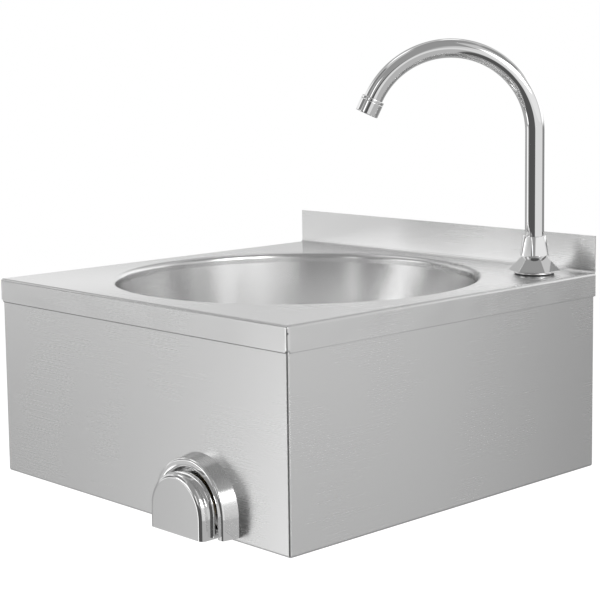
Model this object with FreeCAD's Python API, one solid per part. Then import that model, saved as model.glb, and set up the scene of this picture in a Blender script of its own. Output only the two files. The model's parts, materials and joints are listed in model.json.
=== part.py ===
import FreeCAD, Part
import math
import os

# Wall-hung square hand basin with a swan-neck spout, worked by a knee pad on its front panel.
#
# Millimetres. X runs to the right as seen from the front, Y into the wall and Z up. The origin
# lies on the wall, half-way across the basin, on the line of the wall bracket's screws.

# ---------------------------------------------------------------- driving dimensions: basin
width = 400.0               # deck, side to side
depth = 400.0               # wall to the deck's front
body_height = 187.0         # deck top to the skirt's lower edge
sheet = 1.2                 # stainless sheet of the deck, bowl and skirt
bend = 1.0                  # inside radius of the folds
fold_gap = 0.2              # between the deck's lip and the skirt inside it
lip_height = 22.5           # deck's front and side lips
corner_radius = 1.5         # lip's front corners, welded and ground
splash_height = 35.0        # splashback above the deck
splash_bend = 2.0           # inside radius where the deck turns up
deck_land = 24.0            # deck's edge to the bowl's mouth
rim_roll = 5.0              # outside radius of the rolled rim
rim_land = 1.0              # flat ring of the rolled rim
rim_depth = 9.0             # deck top to the weld under the rolled rim
under_bowl = 47.0           # bowl's floor above the skirt's lower edge
bowl_draft = 5.5            # degrees, wall of the bowl
floor_fall = 3.0            # degrees, floor towards the waste
bowl_knuckle = 75.0         # inside radius between wall and floor
seat_radius = 34.5          # recess for the waste
seat_depth = 3.0
waste_hole = 22.5           # radius
return_width = 12.0         # skirt's lower edge, folded in
rear_flange = 20.0          # skirt's rear edges, folded in
skirt_screw_radius = 3.25   # holes in the rear flanges
skirt_screw_inset = 10.6    # from the side panel's face
skirt_screw_height = 27.0   # above the skirt's lower edge

# ---------------------------------------------------------------- driving dimensions: hanging
screw_line_drop = 40.0      # deck top above the bracket's screws
bracket_thickness = 2.0
bracket_length = 300.0
bracket_plate = 40.0        # height of the plate on the wall
bracket_slot = 10.0         # wall to the upturned lip
bracket_lip = 12.0          # upturned lip above the ledge
bracket_hole = 4.0          # radius
bracket_hole_inset = 20.0   # from the bracket's ends
rail_length = 340.0
rail_flange = 13.0          # welded under the deck
rail_clearance = 0.3        # between the rail and the bracket's lip

# ---------------------------------------------------------------- driving dimensions: tap
tap_inset = 40.0            # tap's axis from the deck's side
tap_setback = 42.0          # tap's axis from the wall
tap_hole = 11.0             # radius
foot_radius = 18.75
foot_seal = 1.0
foot_height = 1.3
cone_flats = 39.0           # hexagonal cone, across flats at its widest
cone_chamfer = 1.3          # height of the chamfer under the cone
cone_height = 12.4
waist_radius = 10.4
spigot_radius = 9.7         # takes the union nut
spigot_height = 14.4
nut_height = 20.0
nut_low_flats = 25.0
nut_top_flats = 20.4
nut_belly = 13.5            # radius over the rounded corners
nut_belly_height = 2.5
cone_turn = 24.0            # degrees, a corner of the cone from X
nut_turn = -3.0             # degrees, a corner of the nut from X
tube_radius = 9.0
tube_wall = 1.0
spout_rise = 133.7          # deck top to the start of the bend
spout_bend = 79.0           # centre line radius
spout_sweep = 155.0         # degrees
spout_end = 16.0            # straight end with the aerator
tail_radius = 7.5
tail_bore = 4.5
tail_length = 21.0          # spigot below its shoulder
tail_shoulder = 1.0
tail_plug = 8.0             # length inside the tube
slip_ring = 1.0
o_ring = 0.9                # radius of the section
o_ring_first = 4.2          # above the tail's lower end
o_ring_second = 11.6
shell_radius = 11.0         # aerator
shell_length = 15.6
shell_grip = 8.0            # tube inside the shell
shell_lip = 1.0
insert_height = 5.0
cell_flats = 2.6            # straightener's hexagonal holes
cell_pitch = 3.2
cell_rings = 2              # rings of holes round the middle one
shank_radius = 10.48        # G 1/2 thread
shank_bore = 6.0
shank_length = 53.0         # below the deck top
shank_grip = 7.0            # inside the base
tap_washer_radius = 17.0
tap_rubber = 3.0
tap_steel = 1.5
back_nut_flats = 27.0
back_nut_height = 6.0

# ---------------------------------------------------------------- driving dimensions: waste
waste_seal = 1.0            # above the bowl's seat
lower_seal = 2.0
strainer_radius = 33.0
strainer_sheet = 1.5
strainer_dish = 3.0
dish_radius = 20.0
strainer_holes = 8
strainer_hole = 3.2         # radius
strainer_pitch = 12.5       # radius of the ring of holes
waste_flange = 31.0
waste_flange_height = 3.0
waste_thread = 20.95        # G 1 1/4, radius
waste_thread_length = 60.0
waste_neck = 15.0           # plain length above the thread
waste_neck_radius = 23.0
waste_bore = 18.5           # round the bridge
waste_tail_bore = 18.0      # below it
bridge_drop = 16.0          # under the flange's top
bridge_height = 6.0
bridge_rib = 3.0
bridge_boss = 5.5           # radius
waste_screw_radius = 3.0
waste_screw_head = 5.5
waste_head_height = 2.5
waste_slot = 1.2            # width and depth of the screw's slot

# ---------------------------------------------------------------- driving dimensions: knee valve
knee_inset = 109.0          # valve's axis from the deck's side
knee_arch_height = 21.0     # centre of the arches above the skirt's lower edge
knee_foot = 17.0            # straight sides below that centre
housing_radius = 46.5       # at the panel
housing_rim = 44.0          # at the front
housing_depth = 15.5
housing_wall = 3.0
housing_inner_wall = 2.5
housing_opening = 36.0
housing_edge = 2.5          # rounding of the front's outer edge
housing_lip = 3.5           # rounding of the front's inner edge
pad_radius = 34.0
pad_front = 29.0            # proud of the panel
pad_depth = 17.0
pad_wall = 2.5
pad_edge = 4.6              # rounding round the front
pad_boss = 4.0              # radius
press_room = 4.0            # between the pad's boss and the gland, at rest
pin_radius = 2.0
pin_out = 10.0              # proud of the panel
pin_rise = 5.5              # above the pad's lower edge
ear_radius = 4.5
housing_screw_spread = 70.0     # degrees from one screw to the next
housing_screw = 1.6         # radius
housing_screw_head = 3.2
housing_screw_grip = 8.0    # inside the housing
housing_screw_head_height = 2.2
screw_boss = 3.4
valve_rise = 31.0           # valve's axis above the skirt's lower edge
neck_radius = 12.0
neck_length = 9.0           # in front of the panel
valve_washer = 2.0
valve_flange = 17.0
valve_flange_height = 5.0
barrel_radius = 14.0
barrel_end = 58.0           # behind the panel's face
chamber_radius = 8.1
seat_front = 28.0           # valve seat behind the panel's face
seat_thickness = 3.0
seat_hole = 5.0
spring_room = 15.0
spring_radius = 6.5         # centre line
spring_wire = 1.2
spring_turns = 4
spring_chamber = 9.5
outlet_back = 20.0          # valve's outlet behind the panel's face
valve_lock_flats = 30.0
valve_lock_height = 5.0
gland_head = 10.0
gland_head_height = 2.0
gland_length = 7.0
spindle_radius = 3.0
poppet_radius = 7.5
poppet_height = 2.6
poppet_washer = 1.3
spindle_guide = 4.5
spindle_guide_length = 3.0
union_flats = 24.0
union_hex = 6.0
boss_length = 12.0          # threaded bosses of the valve's inlet and outlet

# ---------------------------------------------------------------- driving dimensions: pipes, mixer
pipe_radius = 6.0
pipe_wall = 1.0
pipe_bend = 28.0
pipe_collar = 9.5
pipe_collar_height = 2.0
pipe_seal = 1.5
nut_flats = 26.0
nut_grip = 9.0              # over the thread
nut_end = 3.0
mixer_setback = 70.0        # from the wall
mixer_radius = 14.0
mixer_half = 48.0
inlet_spread = 34.0         # each inlet from the mixer's middle
inlet_collar = 12.5
inlet_collar_end = 18.0     # below the mixer's axis
inlet_thread = 11.0
inlet_bore = 7.0
mixer_passage = 5.0
rotor_radius = 9.45
rotor_top = 7.7
rotor_bottom = 10.7
bonnet_boss = 13.0
bonnet_end = 17.0
bonnet_head = 12.0
bonnet_head_height = 2.0
stem_radius = 4.0
stem_end = 27.0
knob_radius = 12.0
knob_height = 11.0
knob_grips = 6
knob_grip = 2.0
knob_screw = 1.5
knob_screw_head = 4.6
check_valve_length = 10.0
filter_height = 2.0

# ---------------------------------------------------------------- clearances
thread_clearance = 0.1      # radial, inside the plain stand-ins for threads
running = 0.05              # radial, shafts in their bores
apart = 0.3                 # between moving pieces that don't bear on each other
hole_clearance = 0.3        # radial, round what passes through sheet
seat_gap = 0.1              # closed poppet to its seat
chamfer = 1.0               # ends of threads

# ---------------------------------------------------------------- places worked out from them
V = FreeCAD.Vector
UP = V(0, 0, 1)
DOWN = V(0, 0, -1)
INWARD = V(0, 1, 0)
OUTWARD = V(0, -1, 0)
RIGHT = V(1, 0, 0)
FLAT_SHARE = math.cos(math.radians(30))     # a hexagon's flat over its corner, from the middle

deck_top = screw_line_drop
deck_under = deck_top - sheet
skirt_bottom = deck_top - body_height
half_width = width / 2
bowl_y = -depth / 2
lip_proud = sheet + fold_gap
panel_face = -depth + lip_proud
panel_back = panel_face + sheet
mouth_radius = min(width, depth) / 2 - deck_land
collar_radius = mouth_radius - rim_roll
bowl_floor = skirt_bottom + under_bowl
ledge_top = screw_line_drop - bracket_plate / 2
tap_x = half_width - tap_inset
tap_y = -tap_setback
knee_offset = half_width - knee_inset
valve_z = skirt_bottom + valve_rise
arch_z = skirt_bottom + knee_arch_height
pad_bottom = arch_z - knee_foot


# ---------------------------------------------------------------- shared shapes
def rounded(corners, place):
    """A closed wire through (a, b) or (a, b, radius) corners, each radius a tangent arc."""
    points = [V(corner[0], corner[1], 0) for corner in corners]
    radii = [corner[2] if len(corner) > 2 else 0 for corner in corners]
    turns = []
    for i, point in enumerate(points):
        back = (points[i - 1] - point).normalize()
        ahead = (points[(i + 1) % len(points)] - point).normalize()
        if radii[i] > 0:
            half = back.getAngle(ahead) / 2
            reach = radii[i] / math.tan(half)
            bulge = radii[i] / math.sin(half) - radii[i]
            middle = point + (back + ahead).normalize() * bulge
            turns.append((point + back * reach, middle, point + ahead * reach))
        else:
            turns.append((point, None, point))
    edges = []
    for i, (enter, middle, leave) in enumerate(turns):
        if middle:
            edges.append(Part.Arc(place(enter), place(middle), place(leave)).toShape())
        following = turns[(i + 1) % len(turns)][0]
        if (following - leave).Length > 1e-6:
            edges.append(Part.makeLine(place(leave), place(following)))
    return Part.Wire(edges)


def folded(path, thickness):
    """Corners of a folded sheet's section. One face follows path, the sheet lies to its left.

    A path point is (a, b) or (a, b, inside radius of the bend there).
    """
    near, far = [], []
    for i, point in enumerate(path):
        here = V(point[0], point[1], 0)
        before = here - V(*path[i - 1][:2], 0) if i > 0 else None
        after = V(*path[i + 1][:2], 0) - here if i < len(path) - 1 else None
        before = (before or after).normalize()
        after = (after or before).normalize()
        left_before = V(-before.y, before.x, 0)
        left_after = V(-after.y, after.x, 0)
        shift = (left_before + left_after) * (thickness / (1 + left_before.dot(left_after)))
        near_radius, far_radius = 0, 0
        if len(point) > 2:
            turns_left = before.cross(after).z > 0
            near_radius = point[2] + (thickness if turns_left else 0)
            far_radius = point[2] + (0 if turns_left else thickness)
        near.append((here.x, here.y, near_radius))
        far.append((here.x + shift.x, here.y + shift.y, far_radius))
    return near + far[::-1]


def turned(profile, base=V(0, 0, 0), axis=UP):
    """A lathe-turned solid from corners of (radius, distance along the axis from base)."""
    face = Part.Face(rounded(profile, lambda p: V(p.x, 0, p.y)))
    solid = face.revolve(V(0, 0, 0), UP, 360)
    solid.Placement = FreeCAD.Placement(base, FreeCAD.Rotation(UP, axis))
    return solid


def ring(inner, outer, start, end, base=V(0, 0, 0), axis=UP):
    """A flat ring, such as a washer, from start to end along the axis."""
    return turned([(inner, start), (outer, start), (outer, end), (inner, end)], base, axis)


def rod(radius, start, end, base=V(0, 0, 0), axis=UP):
    """A plain cylinder from start to end along the axis."""
    return Part.makeCylinder(radius, end - start, base + axis * start, axis)


def o_shaped(centre_radius, section_radius, at, base=V(0, 0, 0), axis=UP):
    """An O-ring round the axis, its round section drawn with eight sides."""
    flat = section_radius * math.tan(math.radians(22.5))
    corners = [(section_radius, -flat), (section_radius, flat), (flat, section_radius),
               (-flat, section_radius), (-section_radius, flat), (-section_radius, -flat),
               (-flat, -section_radius), (flat, -section_radius)]
    return turned([(centre_radius + r, at + z) for r, z in corners], base, axis)


def extruded(corners, place, travel):
    """A solid from an outline that is drawn by place and moved along travel."""
    return Part.Face(rounded(corners, place)).extrude(travel)


def across(x):
    """Draws (a, b) as a section in Y and Z at x."""
    return lambda p: V(x, p.x, p.y)


def block(x_low, x_high, y_low, y_high, z_low, z_high):
    """A box between its low and high coordinates."""
    size = (x_high - x_low, y_high - y_low, z_high - z_low)
    return Part.makeBox(*size, V(x_low, y_low, z_low))


def hexagon(flats, z, turn=0):
    """A hexagonal wire round the Z axis, one corner turned by turn degrees from X."""
    radius = flats / 2 / FLAT_SHARE
    angles = [math.radians(turn + 60 * i) for i in range(6)]
    points = [V(radius * math.cos(a), radius * math.sin(a), z) for a in angles]
    return Part.makePolygon(points + points[:1])


def hex_nut(flats, bore, start, end, base, axis):
    """A hexagonal nut with chamfered corners."""
    corner = flats / 2 / FLAT_SHARE
    cut = corner - flats / 2
    prism = Part.Face(hexagon(flats, start)).extrude(UP * (end - start))
    profile = [(bore, start), (flats / 2, start), (corner, start + cut / 2)]
    profile += [(corner, end - cut / 2), (flats / 2, end), (bore, end)]
    nut = prism.common(turned(profile))
    nut.Placement = FreeCAD.Placement(base, FreeCAD.Rotation(UP, axis))
    return nut


def edges_where(shape, test):
    """The edges whose ends and middle all pass the test."""
    found = []
    for edge in shape.Edges:
        first, last = edge.ParameterRange
        points = [edge.valueAt(first + (last - first) * share) for share in (0, 0.5, 1)]
        if all(test(point) for point in points):
            found.append(edge)
    return found


def near(a, b):
    return abs(a - b) < 1e-4


def arch(radius, y, foot=knee_foot):
    """The knee valve's arch outline: a half circle on straight sides, flat below."""
    left, right = knee_offset - radius, knee_offset + radius
    low = arch_z - foot
    corners = [V(left, y, low), V(left, y, arch_z), V(right, y, arch_z), V(right, y, low)]
    top = V(knee_offset, y, arch_z + radius)
    sides = [Part.makeLine(corners[0], corners[1]), Part.makeLine(corners[2], corners[3])]
    half_circle = Part.Arc(corners[1], top, corners[2]).toShape()
    return Part.Wire([sides[0], half_circle, sides[1], Part.makeLine(corners[3], corners[0])])


def arch_block(radius, start, end, foot=knee_foot):
    """A solid with the arch outline, from start to end proud of the panel."""
    return Part.Face(arch(radius, panel_face - start, foot)).extrude(OUTWARD * (end - start))


def corner_arc(enter, corner, leave):
    """The arc that touches the lines from enter to corner and from corner to leave, as long."""
    back = (enter - corner).normalize()
    ahead = (leave - corner).normalize()
    half = back.getAngle(ahead) / 2
    radius = (enter - corner).Length * math.tan(half)
    middle = corner + (back + ahead).normalize() * (radius / math.sin(half) - radius)
    return Part.Arc(enter, middle, leave).toShape()


def swept(edges, radius, start, heading):
    """A round bar of this radius along edges that run smoothly into each other."""
    section = Part.Wire(Part.makeCircle(radius, start, heading))
    return Part.Wire(edges).makePipeShell([section], True, False)


def bent_pipe(points, radius, bend_radius):
    """A round bar along straight runs joined by tangent arcs."""
    edges = []
    here = points[0]
    for before, corner, after in zip(points, points[1:], points[2:]):
        back = (before - corner).normalize()
        ahead = (after - corner).normalize()
        reach = bend_radius / math.tan(back.getAngle(ahead) / 2)
        edges.append(Part.makeLine(here, corner + back * reach))
        edges.append(corner_arc(corner + back * reach, corner, corner + ahead * reach))
        here = corner + ahead * reach
    edges.append(Part.makeLine(here, points[-1]))
    return swept(edges, radius, points[0], points[1] - points[0])


def coil(radius, wire, rise, turns):
    """An open coil round the Z axis, each quarter turn of it two tangent arcs."""
    quarters = [math.pi / 2 * i for i in range(4 * turns + 1)]
    slope = rise / (2 * math.pi * turns)
    points = [V(radius * math.cos(a), radius * math.sin(a), slope * a) for a in quarters]
    ways = [V(-radius * math.sin(a), radius * math.cos(a), slope).normalize() for a in quarters]
    edges = []
    for start, end, leave, arrive in zip(points, points[1:], ways, ways[1:]):
        chord = end - start
        along = chord.dot(leave + arrive)
        turn = 2 * (1 - leave.dot(arrive))
        reach = (math.sqrt(along ** 2 + turn * chord.dot(chord)) - along) / turn
        first, last = start + leave * reach, end - arrive * reach
        join = (first + last) / 2
        edges += [corner_arc(start, first, join), corner_arc(join, last, end)]
    return swept(edges, wire / 2, points[0], ways[0])


# ---------------------------------------------------------------- basin
def fold_edges(shape, z, y_rear):
    """The edges round a box's face at height z, without the one along its rear."""
    edges = edges_where(shape, lambda p: near(p.z, z))
    return [edge for edge in edges if not all(near(v.Point.y, y_rear) for v in edge.Vertexes)]


def upright_edges(shape):
    return [edge for edge in shape.Edges if abs(edge.tangentAt(edge.FirstParameter).z) > 0.9]


def make_deck():
    lip_bottom = deck_top - lip_height
    front = -depth
    outer = block(-half_width, half_width, front, 0, lip_bottom, deck_top)

    def is_corner(p):
        return near(abs(p.x), half_width) and near(p.y, front)

    outer = outer.makeFillet(corner_radius, edges_where(outer, is_corner))
    outer = outer.makeFillet(bend + sheet, fold_edges(outer, deck_top, 0))
    inner_x = half_width - sheet
    inner_y = front + sheet
    inner = block(-inner_x, inner_x, inner_y, sheet, lip_bottom - sheet, deck_under)
    inner = inner.makeFillet(bend, fold_edges(inner, deck_under, sheet))
    deck = outer.cut(inner)

    turn_up = splash_bend + sheet
    deck = deck.cut(block(-inner_x, inner_x, -turn_up, sheet, deck_under - sheet, deck_top + sheet))
    splash_path = [(-sheet, deck_top + splash_height), (-sheet, deck_top, splash_bend),
                   (-turn_up - sheet, deck_top)]
    splash = extruded(folded(splash_path, sheet), across(-half_width), RIGHT * width)
    deck = deck.fuse(splash)

    middle = V(0, bowl_y, 0)
    deck = deck.cut(rod(mouth_radius + rim_land, deck_under - sheet, deck_top + sheet, middle))
    rim_path = [(mouth_radius + rim_land, deck_top), (collar_radius, deck_top, rim_roll - sheet),
                (collar_radius, deck_top - rim_depth)]
    deck = deck.fuse(turned(folded(rim_path, sheet), middle))
    deck = deck.cut(rod(tap_hole, deck_under - sheet, deck_top + sheet, V(tap_x, tap_y, 0)))
    return deck.removeSplitter()


def make_bowl():
    top = deck_top - rim_depth
    draft = math.tan(math.radians(bowl_draft))
    fall = math.tan(math.radians(floor_fall))
    # the wall's line and the floor's line meet at the knuckle's corner
    corner_out = (top - bowl_floor - collar_radius / draft + seat_radius * fall)
    corner_out /= fall - 1 / draft
    corner_z = bowl_floor + (corner_out - seat_radius) * fall
    path = [(collar_radius, top), (corner_out, corner_z, bowl_knuckle),
            (seat_radius, bowl_floor, bend), (seat_radius, bowl_floor - seat_depth, bend),
            (waste_hole, bowl_floor - seat_depth)]
    return turned(folded(path, sheet), V(0, bowl_y, 0))


def make_skirt():
    side = half_width - lip_proud
    outer = block(-side, side, panel_face, 0, skirt_bottom, deck_under - bend)
    outer = outer.makeFillet(bend + sheet, upright_edges(outer))
    outer = outer.makeFillet(bend + sheet, fold_edges(outer, skirt_bottom, 0))

    in_x = side - sheet
    inner = block(-in_x, in_x, panel_back, -sheet, skirt_bottom + sheet, deck_top)
    inner = inner.makeFillet(bend, upright_edges(inner))
    inner = inner.makeFillet(bend, edges_where(inner, lambda p: near(p.z, skirt_bottom + sheet)))
    skirt = outer.cut(inner)

    open_x = side - return_width
    skirt = skirt.cut(block(-open_x, open_x, panel_face + return_width, sheet,
                            skirt_bottom - sheet, skirt_bottom + sheet))
    rear_x = side - rear_flange
    skirt = skirt.cut(block(-rear_x, rear_x, -2 * sheet, sheet, skirt_bottom - sheet, deck_top))

    for x in (-side + skirt_screw_inset, side - skirt_screw_inset):
        place = V(x, 0, skirt_bottom + skirt_screw_height)
        skirt = skirt.cut(rod(skirt_screw_radius, -2 * sheet, sheet, place, INWARD))
    neck = V(knee_offset, panel_face, valve_z)
    skirt = skirt.cut(rod(neck_radius + hole_clearance, -sheet, 2 * sheet, neck, INWARD))
    for place in housing_screw_places():
        skirt = skirt.cut(rod(housing_screw + hole_clearance, -sheet, 2 * sheet, place, INWARD))
    return skirt.removeSplitter()


def make_hook_rail():
    face = -(bracket_slot - bend - rail_clearance - bracket_thickness)
    path = [(face, ledge_top), (face, deck_under, bend), (face - rail_flange, deck_under)]
    section = folded(path, bracket_thickness)
    return extruded(section, across(-rail_length / 2), RIGHT * rail_length)


def make_wall_bracket():
    path = [(0, -bracket_plate / 2), (0, ledge_top, bend), (-bracket_slot, ledge_top, bend),
            (-bracket_slot, ledge_top + bracket_lip)]
    section = folded(path, bracket_thickness)
    bracket = extruded(section, across(-bracket_length / 2), RIGHT * bracket_length)
    hole_x = bracket_length / 2 - bracket_hole_inset
    for x in (-hole_x, hole_x):
        hole = rod(bracket_hole, -2 * bracket_thickness, bracket_thickness, V(x, 0, 0), INWARD)
        bracket = bracket.cut(hole)
    return bracket


# ---------------------------------------------------------------- waste
waste_axis = V(0, bowl_y, 0)
seat_top = bowl_floor - seat_depth
strainer_top = seat_top + waste_seal + strainer_sheet
dish_top = strainer_top - strainer_dish
waste_top = seat_top - sheet - lower_seal
bridge_top = waste_top - bridge_drop
waste_end = waste_top - waste_flange_height - waste_neck - waste_thread_length
waste_step = bridge_top - bridge_height - chamfer


def make_waste_strainer():
    path = [(strainer_radius, strainer_top), (dish_radius, strainer_top),
            (dish_radius - strainer_dish, dish_top), (waste_screw_radius + running, dish_top)]
    strainer = turned(folded(path[::-1], -strainer_sheet), waste_axis)
    for i in range(strainer_holes):
        angle = math.radians(360 / strainer_holes * i)
        place = waste_axis + V(math.cos(angle), math.sin(angle), 0) * strainer_pitch
        strainer = strainer.cut(rod(strainer_hole, dish_top - 2 * strainer_sheet, strainer_top,
                                    place))
    return strainer


def make_waste_screw():
    head_top = dish_top + waste_head_height
    profile = [(0, bridge_top - bridge_height), (waste_screw_radius, bridge_top - bridge_height),
               (waste_screw_radius, dish_top), (waste_screw_head, dish_top),
               (waste_screw_head, head_top - chamfer), (waste_screw_head - chamfer, head_top),
               (0, head_top)]
    half = waste_slot / 2
    slot = block(-waste_screw_head, waste_screw_head, bowl_y - half, bowl_y + half,
                 head_top - waste_slot, head_top)
    return turned(profile, waste_axis).cut(slot)


def make_waste_body():
    neck_end = waste_top - waste_flange_height - waste_neck
    profile = [(waste_bore, waste_top), (waste_flange, waste_top),
               (waste_flange, waste_top - waste_flange_height),
               (waste_neck_radius, waste_top - waste_flange_height),
               (waste_neck_radius, neck_end), (waste_thread, neck_end),
               (waste_thread, waste_end + chamfer), (waste_thread - chamfer, waste_end),
               (waste_tail_bore, waste_end), (waste_tail_bore, waste_step),
               (waste_bore, waste_step)]
    body = turned(profile, waste_axis)
    low = bridge_top - bridge_height
    reach = waste_bore + chamfer
    rib = bridge_rib / 2
    body = body.fuse(block(-reach, reach, bowl_y - rib, bowl_y + rib, low, bridge_top))
    body = body.fuse(block(-rib, rib, bowl_y - reach, bowl_y + reach, low, bridge_top))
    body = body.fuse(rod(bridge_boss, low, bridge_top, waste_axis))
    body = body.cut(rod(waste_screw_radius + thread_clearance, low, bridge_top, waste_axis))
    return body.removeSplitter()


# ---------------------------------------------------------------- tap
tap_axis = V(tap_x, tap_y, deck_top)
foot_top = foot_seal + foot_height
cone_low = foot_top + cone_chamfer
waist = cone_low + cone_height
spigot_top = waist + spigot_height
shoulder_low = spigot_top + slip_ring + apart
shoulder_top = shoulder_low + tail_shoulder
nut_wall_low = shoulder_top + apart
nut_top = waist + nut_height
tail_end = shoulder_low - tail_length
shank_top = foot_seal + shank_grip


def make_tap_base():
    cone = Part.makeLoft([hexagon(cone_flats, cone_low, cone_turn),
                          hexagon(2 * waist_radius * FLAT_SHARE, waist, cone_turn)], True, True)
    prism = Part.Face(hexagon(cone_flats, foot_top, cone_turn)).extrude(UP * cone_chamfer)
    under = prism.common(turned([(0, foot_top), (foot_radius, foot_top),
                                 (cone_flats / 2 / FLAT_SHARE, cone_low), (0, cone_low)]))
    base = rod(foot_radius, foot_seal, foot_top).fuse([under, cone])
    base = base.fuse(turned([(0, foot_top), (waist_radius, foot_top), (waist_radius, waist),
                             (spigot_radius, waist), (spigot_radius, spigot_top), (0, spigot_top)]))
    base = base.cut(rod(shank_radius + thread_clearance, foot_seal, shank_top))
    base = base.cut(rod(tail_radius + running, shank_top, spigot_top))
    base = base.removeSplitter()
    base.translate(tap_axis)
    return base


def make_spout_nut():
    body = Part.makeLoft([hexagon(nut_low_flats, waist, nut_turn),
                          hexagon(nut_top_flats, nut_top, nut_turn)], True, True)
    top_radius = nut_top_flats / 2 + apart
    bore = spigot_radius + apart
    envelope = [(bore, waist), (waist_radius + apart, waist),
                (nut_belly, waist + nut_belly_height), (top_radius + apart, nut_top - apart),
                (top_radius, nut_top), (tube_radius + apart, nut_top),
                (tube_radius + apart, nut_wall_low), (bore, nut_wall_low)]
    nut = body.common(turned(envelope))
    nut.translate(tap_axis)
    return nut


def spout_plane():
    """Unit vector from the tap's axis towards the middle of the bowl."""
    return (V(0, bowl_y, 0) - V(tap_x, tap_y, 0)).normalize()


def spout_finish():
    """Where the spout's bend ends and the direction of its straight end."""
    sweep = math.radians(spout_sweep)
    ahead = spout_plane()
    bend_end = tap_axis + UP * (spout_rise + spout_bend * math.sin(sweep))
    bend_end += ahead * (spout_bend * (1 - math.cos(sweep)))
    return bend_end, ahead * math.sin(sweep) + UP * math.cos(sweep)


def make_spout_tube():
    bend_end, outlet = spout_finish()
    start = tap_axis + UP * shoulder_top
    rise_end = tap_axis + UP * spout_rise
    half = math.radians(spout_sweep / 2)
    top = rise_end + UP * (spout_bend * math.sin(half))
    top += spout_plane() * (spout_bend * (1 - math.cos(half)))
    end = bend_end + outlet * (spout_end - shell_length + shell_grip)
    route = Part.Wire([Part.makeLine(start, rise_end),
                       Part.Arc(rise_end, top, bend_end).toShape(),
                       Part.makeLine(bend_end, end)])
    outside = route.makePipeShell([Part.Wire(Part.makeCircle(tube_radius, start, UP))], True, False)
    bore = Part.Wire(Part.makeCircle(tube_radius - tube_wall, start, UP))
    return outside.cut(route.makePipeShell([bore], True, False))


def make_spout_tail():
    plug = tube_radius - tube_wall - running
    profile = [(tail_bore, tail_end), (tail_radius - apart, tail_end),
               (tail_radius, tail_end + apart)]
    groove = tail_radius - 2 * o_ring - running
    for at in o_ring_places():
        low, high = at - o_ring - running, at + o_ring + running
        profile += [(tail_radius, low), (groove, low), (groove, high), (tail_radius, high)]
    profile += [(tail_radius, shoulder_low), (spigot_radius, shoulder_low),
                (spigot_radius, shoulder_top), (plug, shoulder_top),
                (plug, shoulder_top + tail_plug), (tail_bore, shoulder_top + tail_plug)]
    return turned(profile, tap_axis)


def o_ring_places():
    """Heights of the two O-rings on the spout's tail."""
    return [tail_end + o_ring_first, tail_end + o_ring_second]


def make_spout_o_rings():
    centre = tail_radius - o_ring
    return Part.makeCompound([o_shaped(centre, o_ring, at, tap_axis) for at in o_ring_places()])


def outlet_tip():
    """The aerator's lower end, and the direction from there back up the spout."""
    bend_end, outlet = spout_finish()
    return bend_end + outlet * spout_end, outlet * -1


def make_aerator_shell():
    tip, back = outlet_tip()
    mouth = shell_radius - 2 * shell_lip
    bore = tube_radius + running
    pocket = tube_radius + 2 * running
    inside = shell_length - shell_grip
    profile = [(mouth, 0), (shell_radius - shell_lip, 0), (shell_radius, shell_lip),
               (shell_radius, shell_length - shell_lip),
               (shell_radius - shell_lip, shell_length), (bore, shell_length),
               (bore, inside), (pocket, inside), (pocket, shell_lip), (mouth, shell_lip)]
    return turned(profile, tip, back)


def make_aerator_insert():
    tip, back = outlet_tip()
    body = rod(tube_radius, shell_lip, shell_lip + insert_height)
    cells = []
    for row in range(-cell_rings, cell_rings + 1):
        for column in range(-cell_rings, cell_rings + 1):
            if abs(row + column) <= cell_rings:
                x = cell_pitch * (column + row / 2)
                y = cell_pitch * row * FLAT_SHARE
                cell = Part.Face(hexagon(cell_flats, 0, 30)).extrude(UP * (2 * insert_height))
                cell.translate(V(x, y, 0))
                cells.append(cell)
    body = body.cut(cells)
    body.Placement = FreeCAD.Placement(tip, FreeCAD.Rotation(UP, back))
    return body


def make_aerator_washer():
    tip, back = outlet_tip()
    start = shell_lip + insert_height
    end = shell_length - shell_grip
    return ring(tube_radius - 2 * tube_wall, tube_radius, start, end, tip, back)


def make_tap_shank():
    end = -shank_length
    profile = [(shank_bore, end), (shank_radius - chamfer, end), (shank_radius, end + chamfer),
               (shank_radius, shank_top), (shank_bore, shank_top)]
    return turned(profile, tap_axis)


def below_deck(start, thickness):
    """Heights, from the deck's top, of a piece that starts this far under the deck's sheet."""
    return -sheet - start - thickness, -sheet - start


# ---------------------------------------------------------------- knee valve
valve_axis = V(knee_offset, panel_face, valve_z)
pin_y = panel_face - pin_out
pin_z = pad_bottom + pin_rise
boss_face = neck_length + gland_head_height + press_room
seat_back = seat_front + seat_thickness
poppet_front = seat_back + seat_gap + poppet_washer
poppet_back = poppet_front + poppet_height
spring_end = poppet_back + spring_room
union_end = barrel_end + union_hex + boss_length


def housing_screw_places():
    """Centres of the housing's three screws, on the panel's face."""
    radius = (housing_opening + housing_radius) / 2
    places = []
    for side in (-1, 0, 1):
        turn = math.radians(housing_screw_spread * side)
        x = knee_offset + radius * math.sin(turn)
        places.append(V(x, panel_face, arch_z + radius * math.cos(turn)))
    return places


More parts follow.
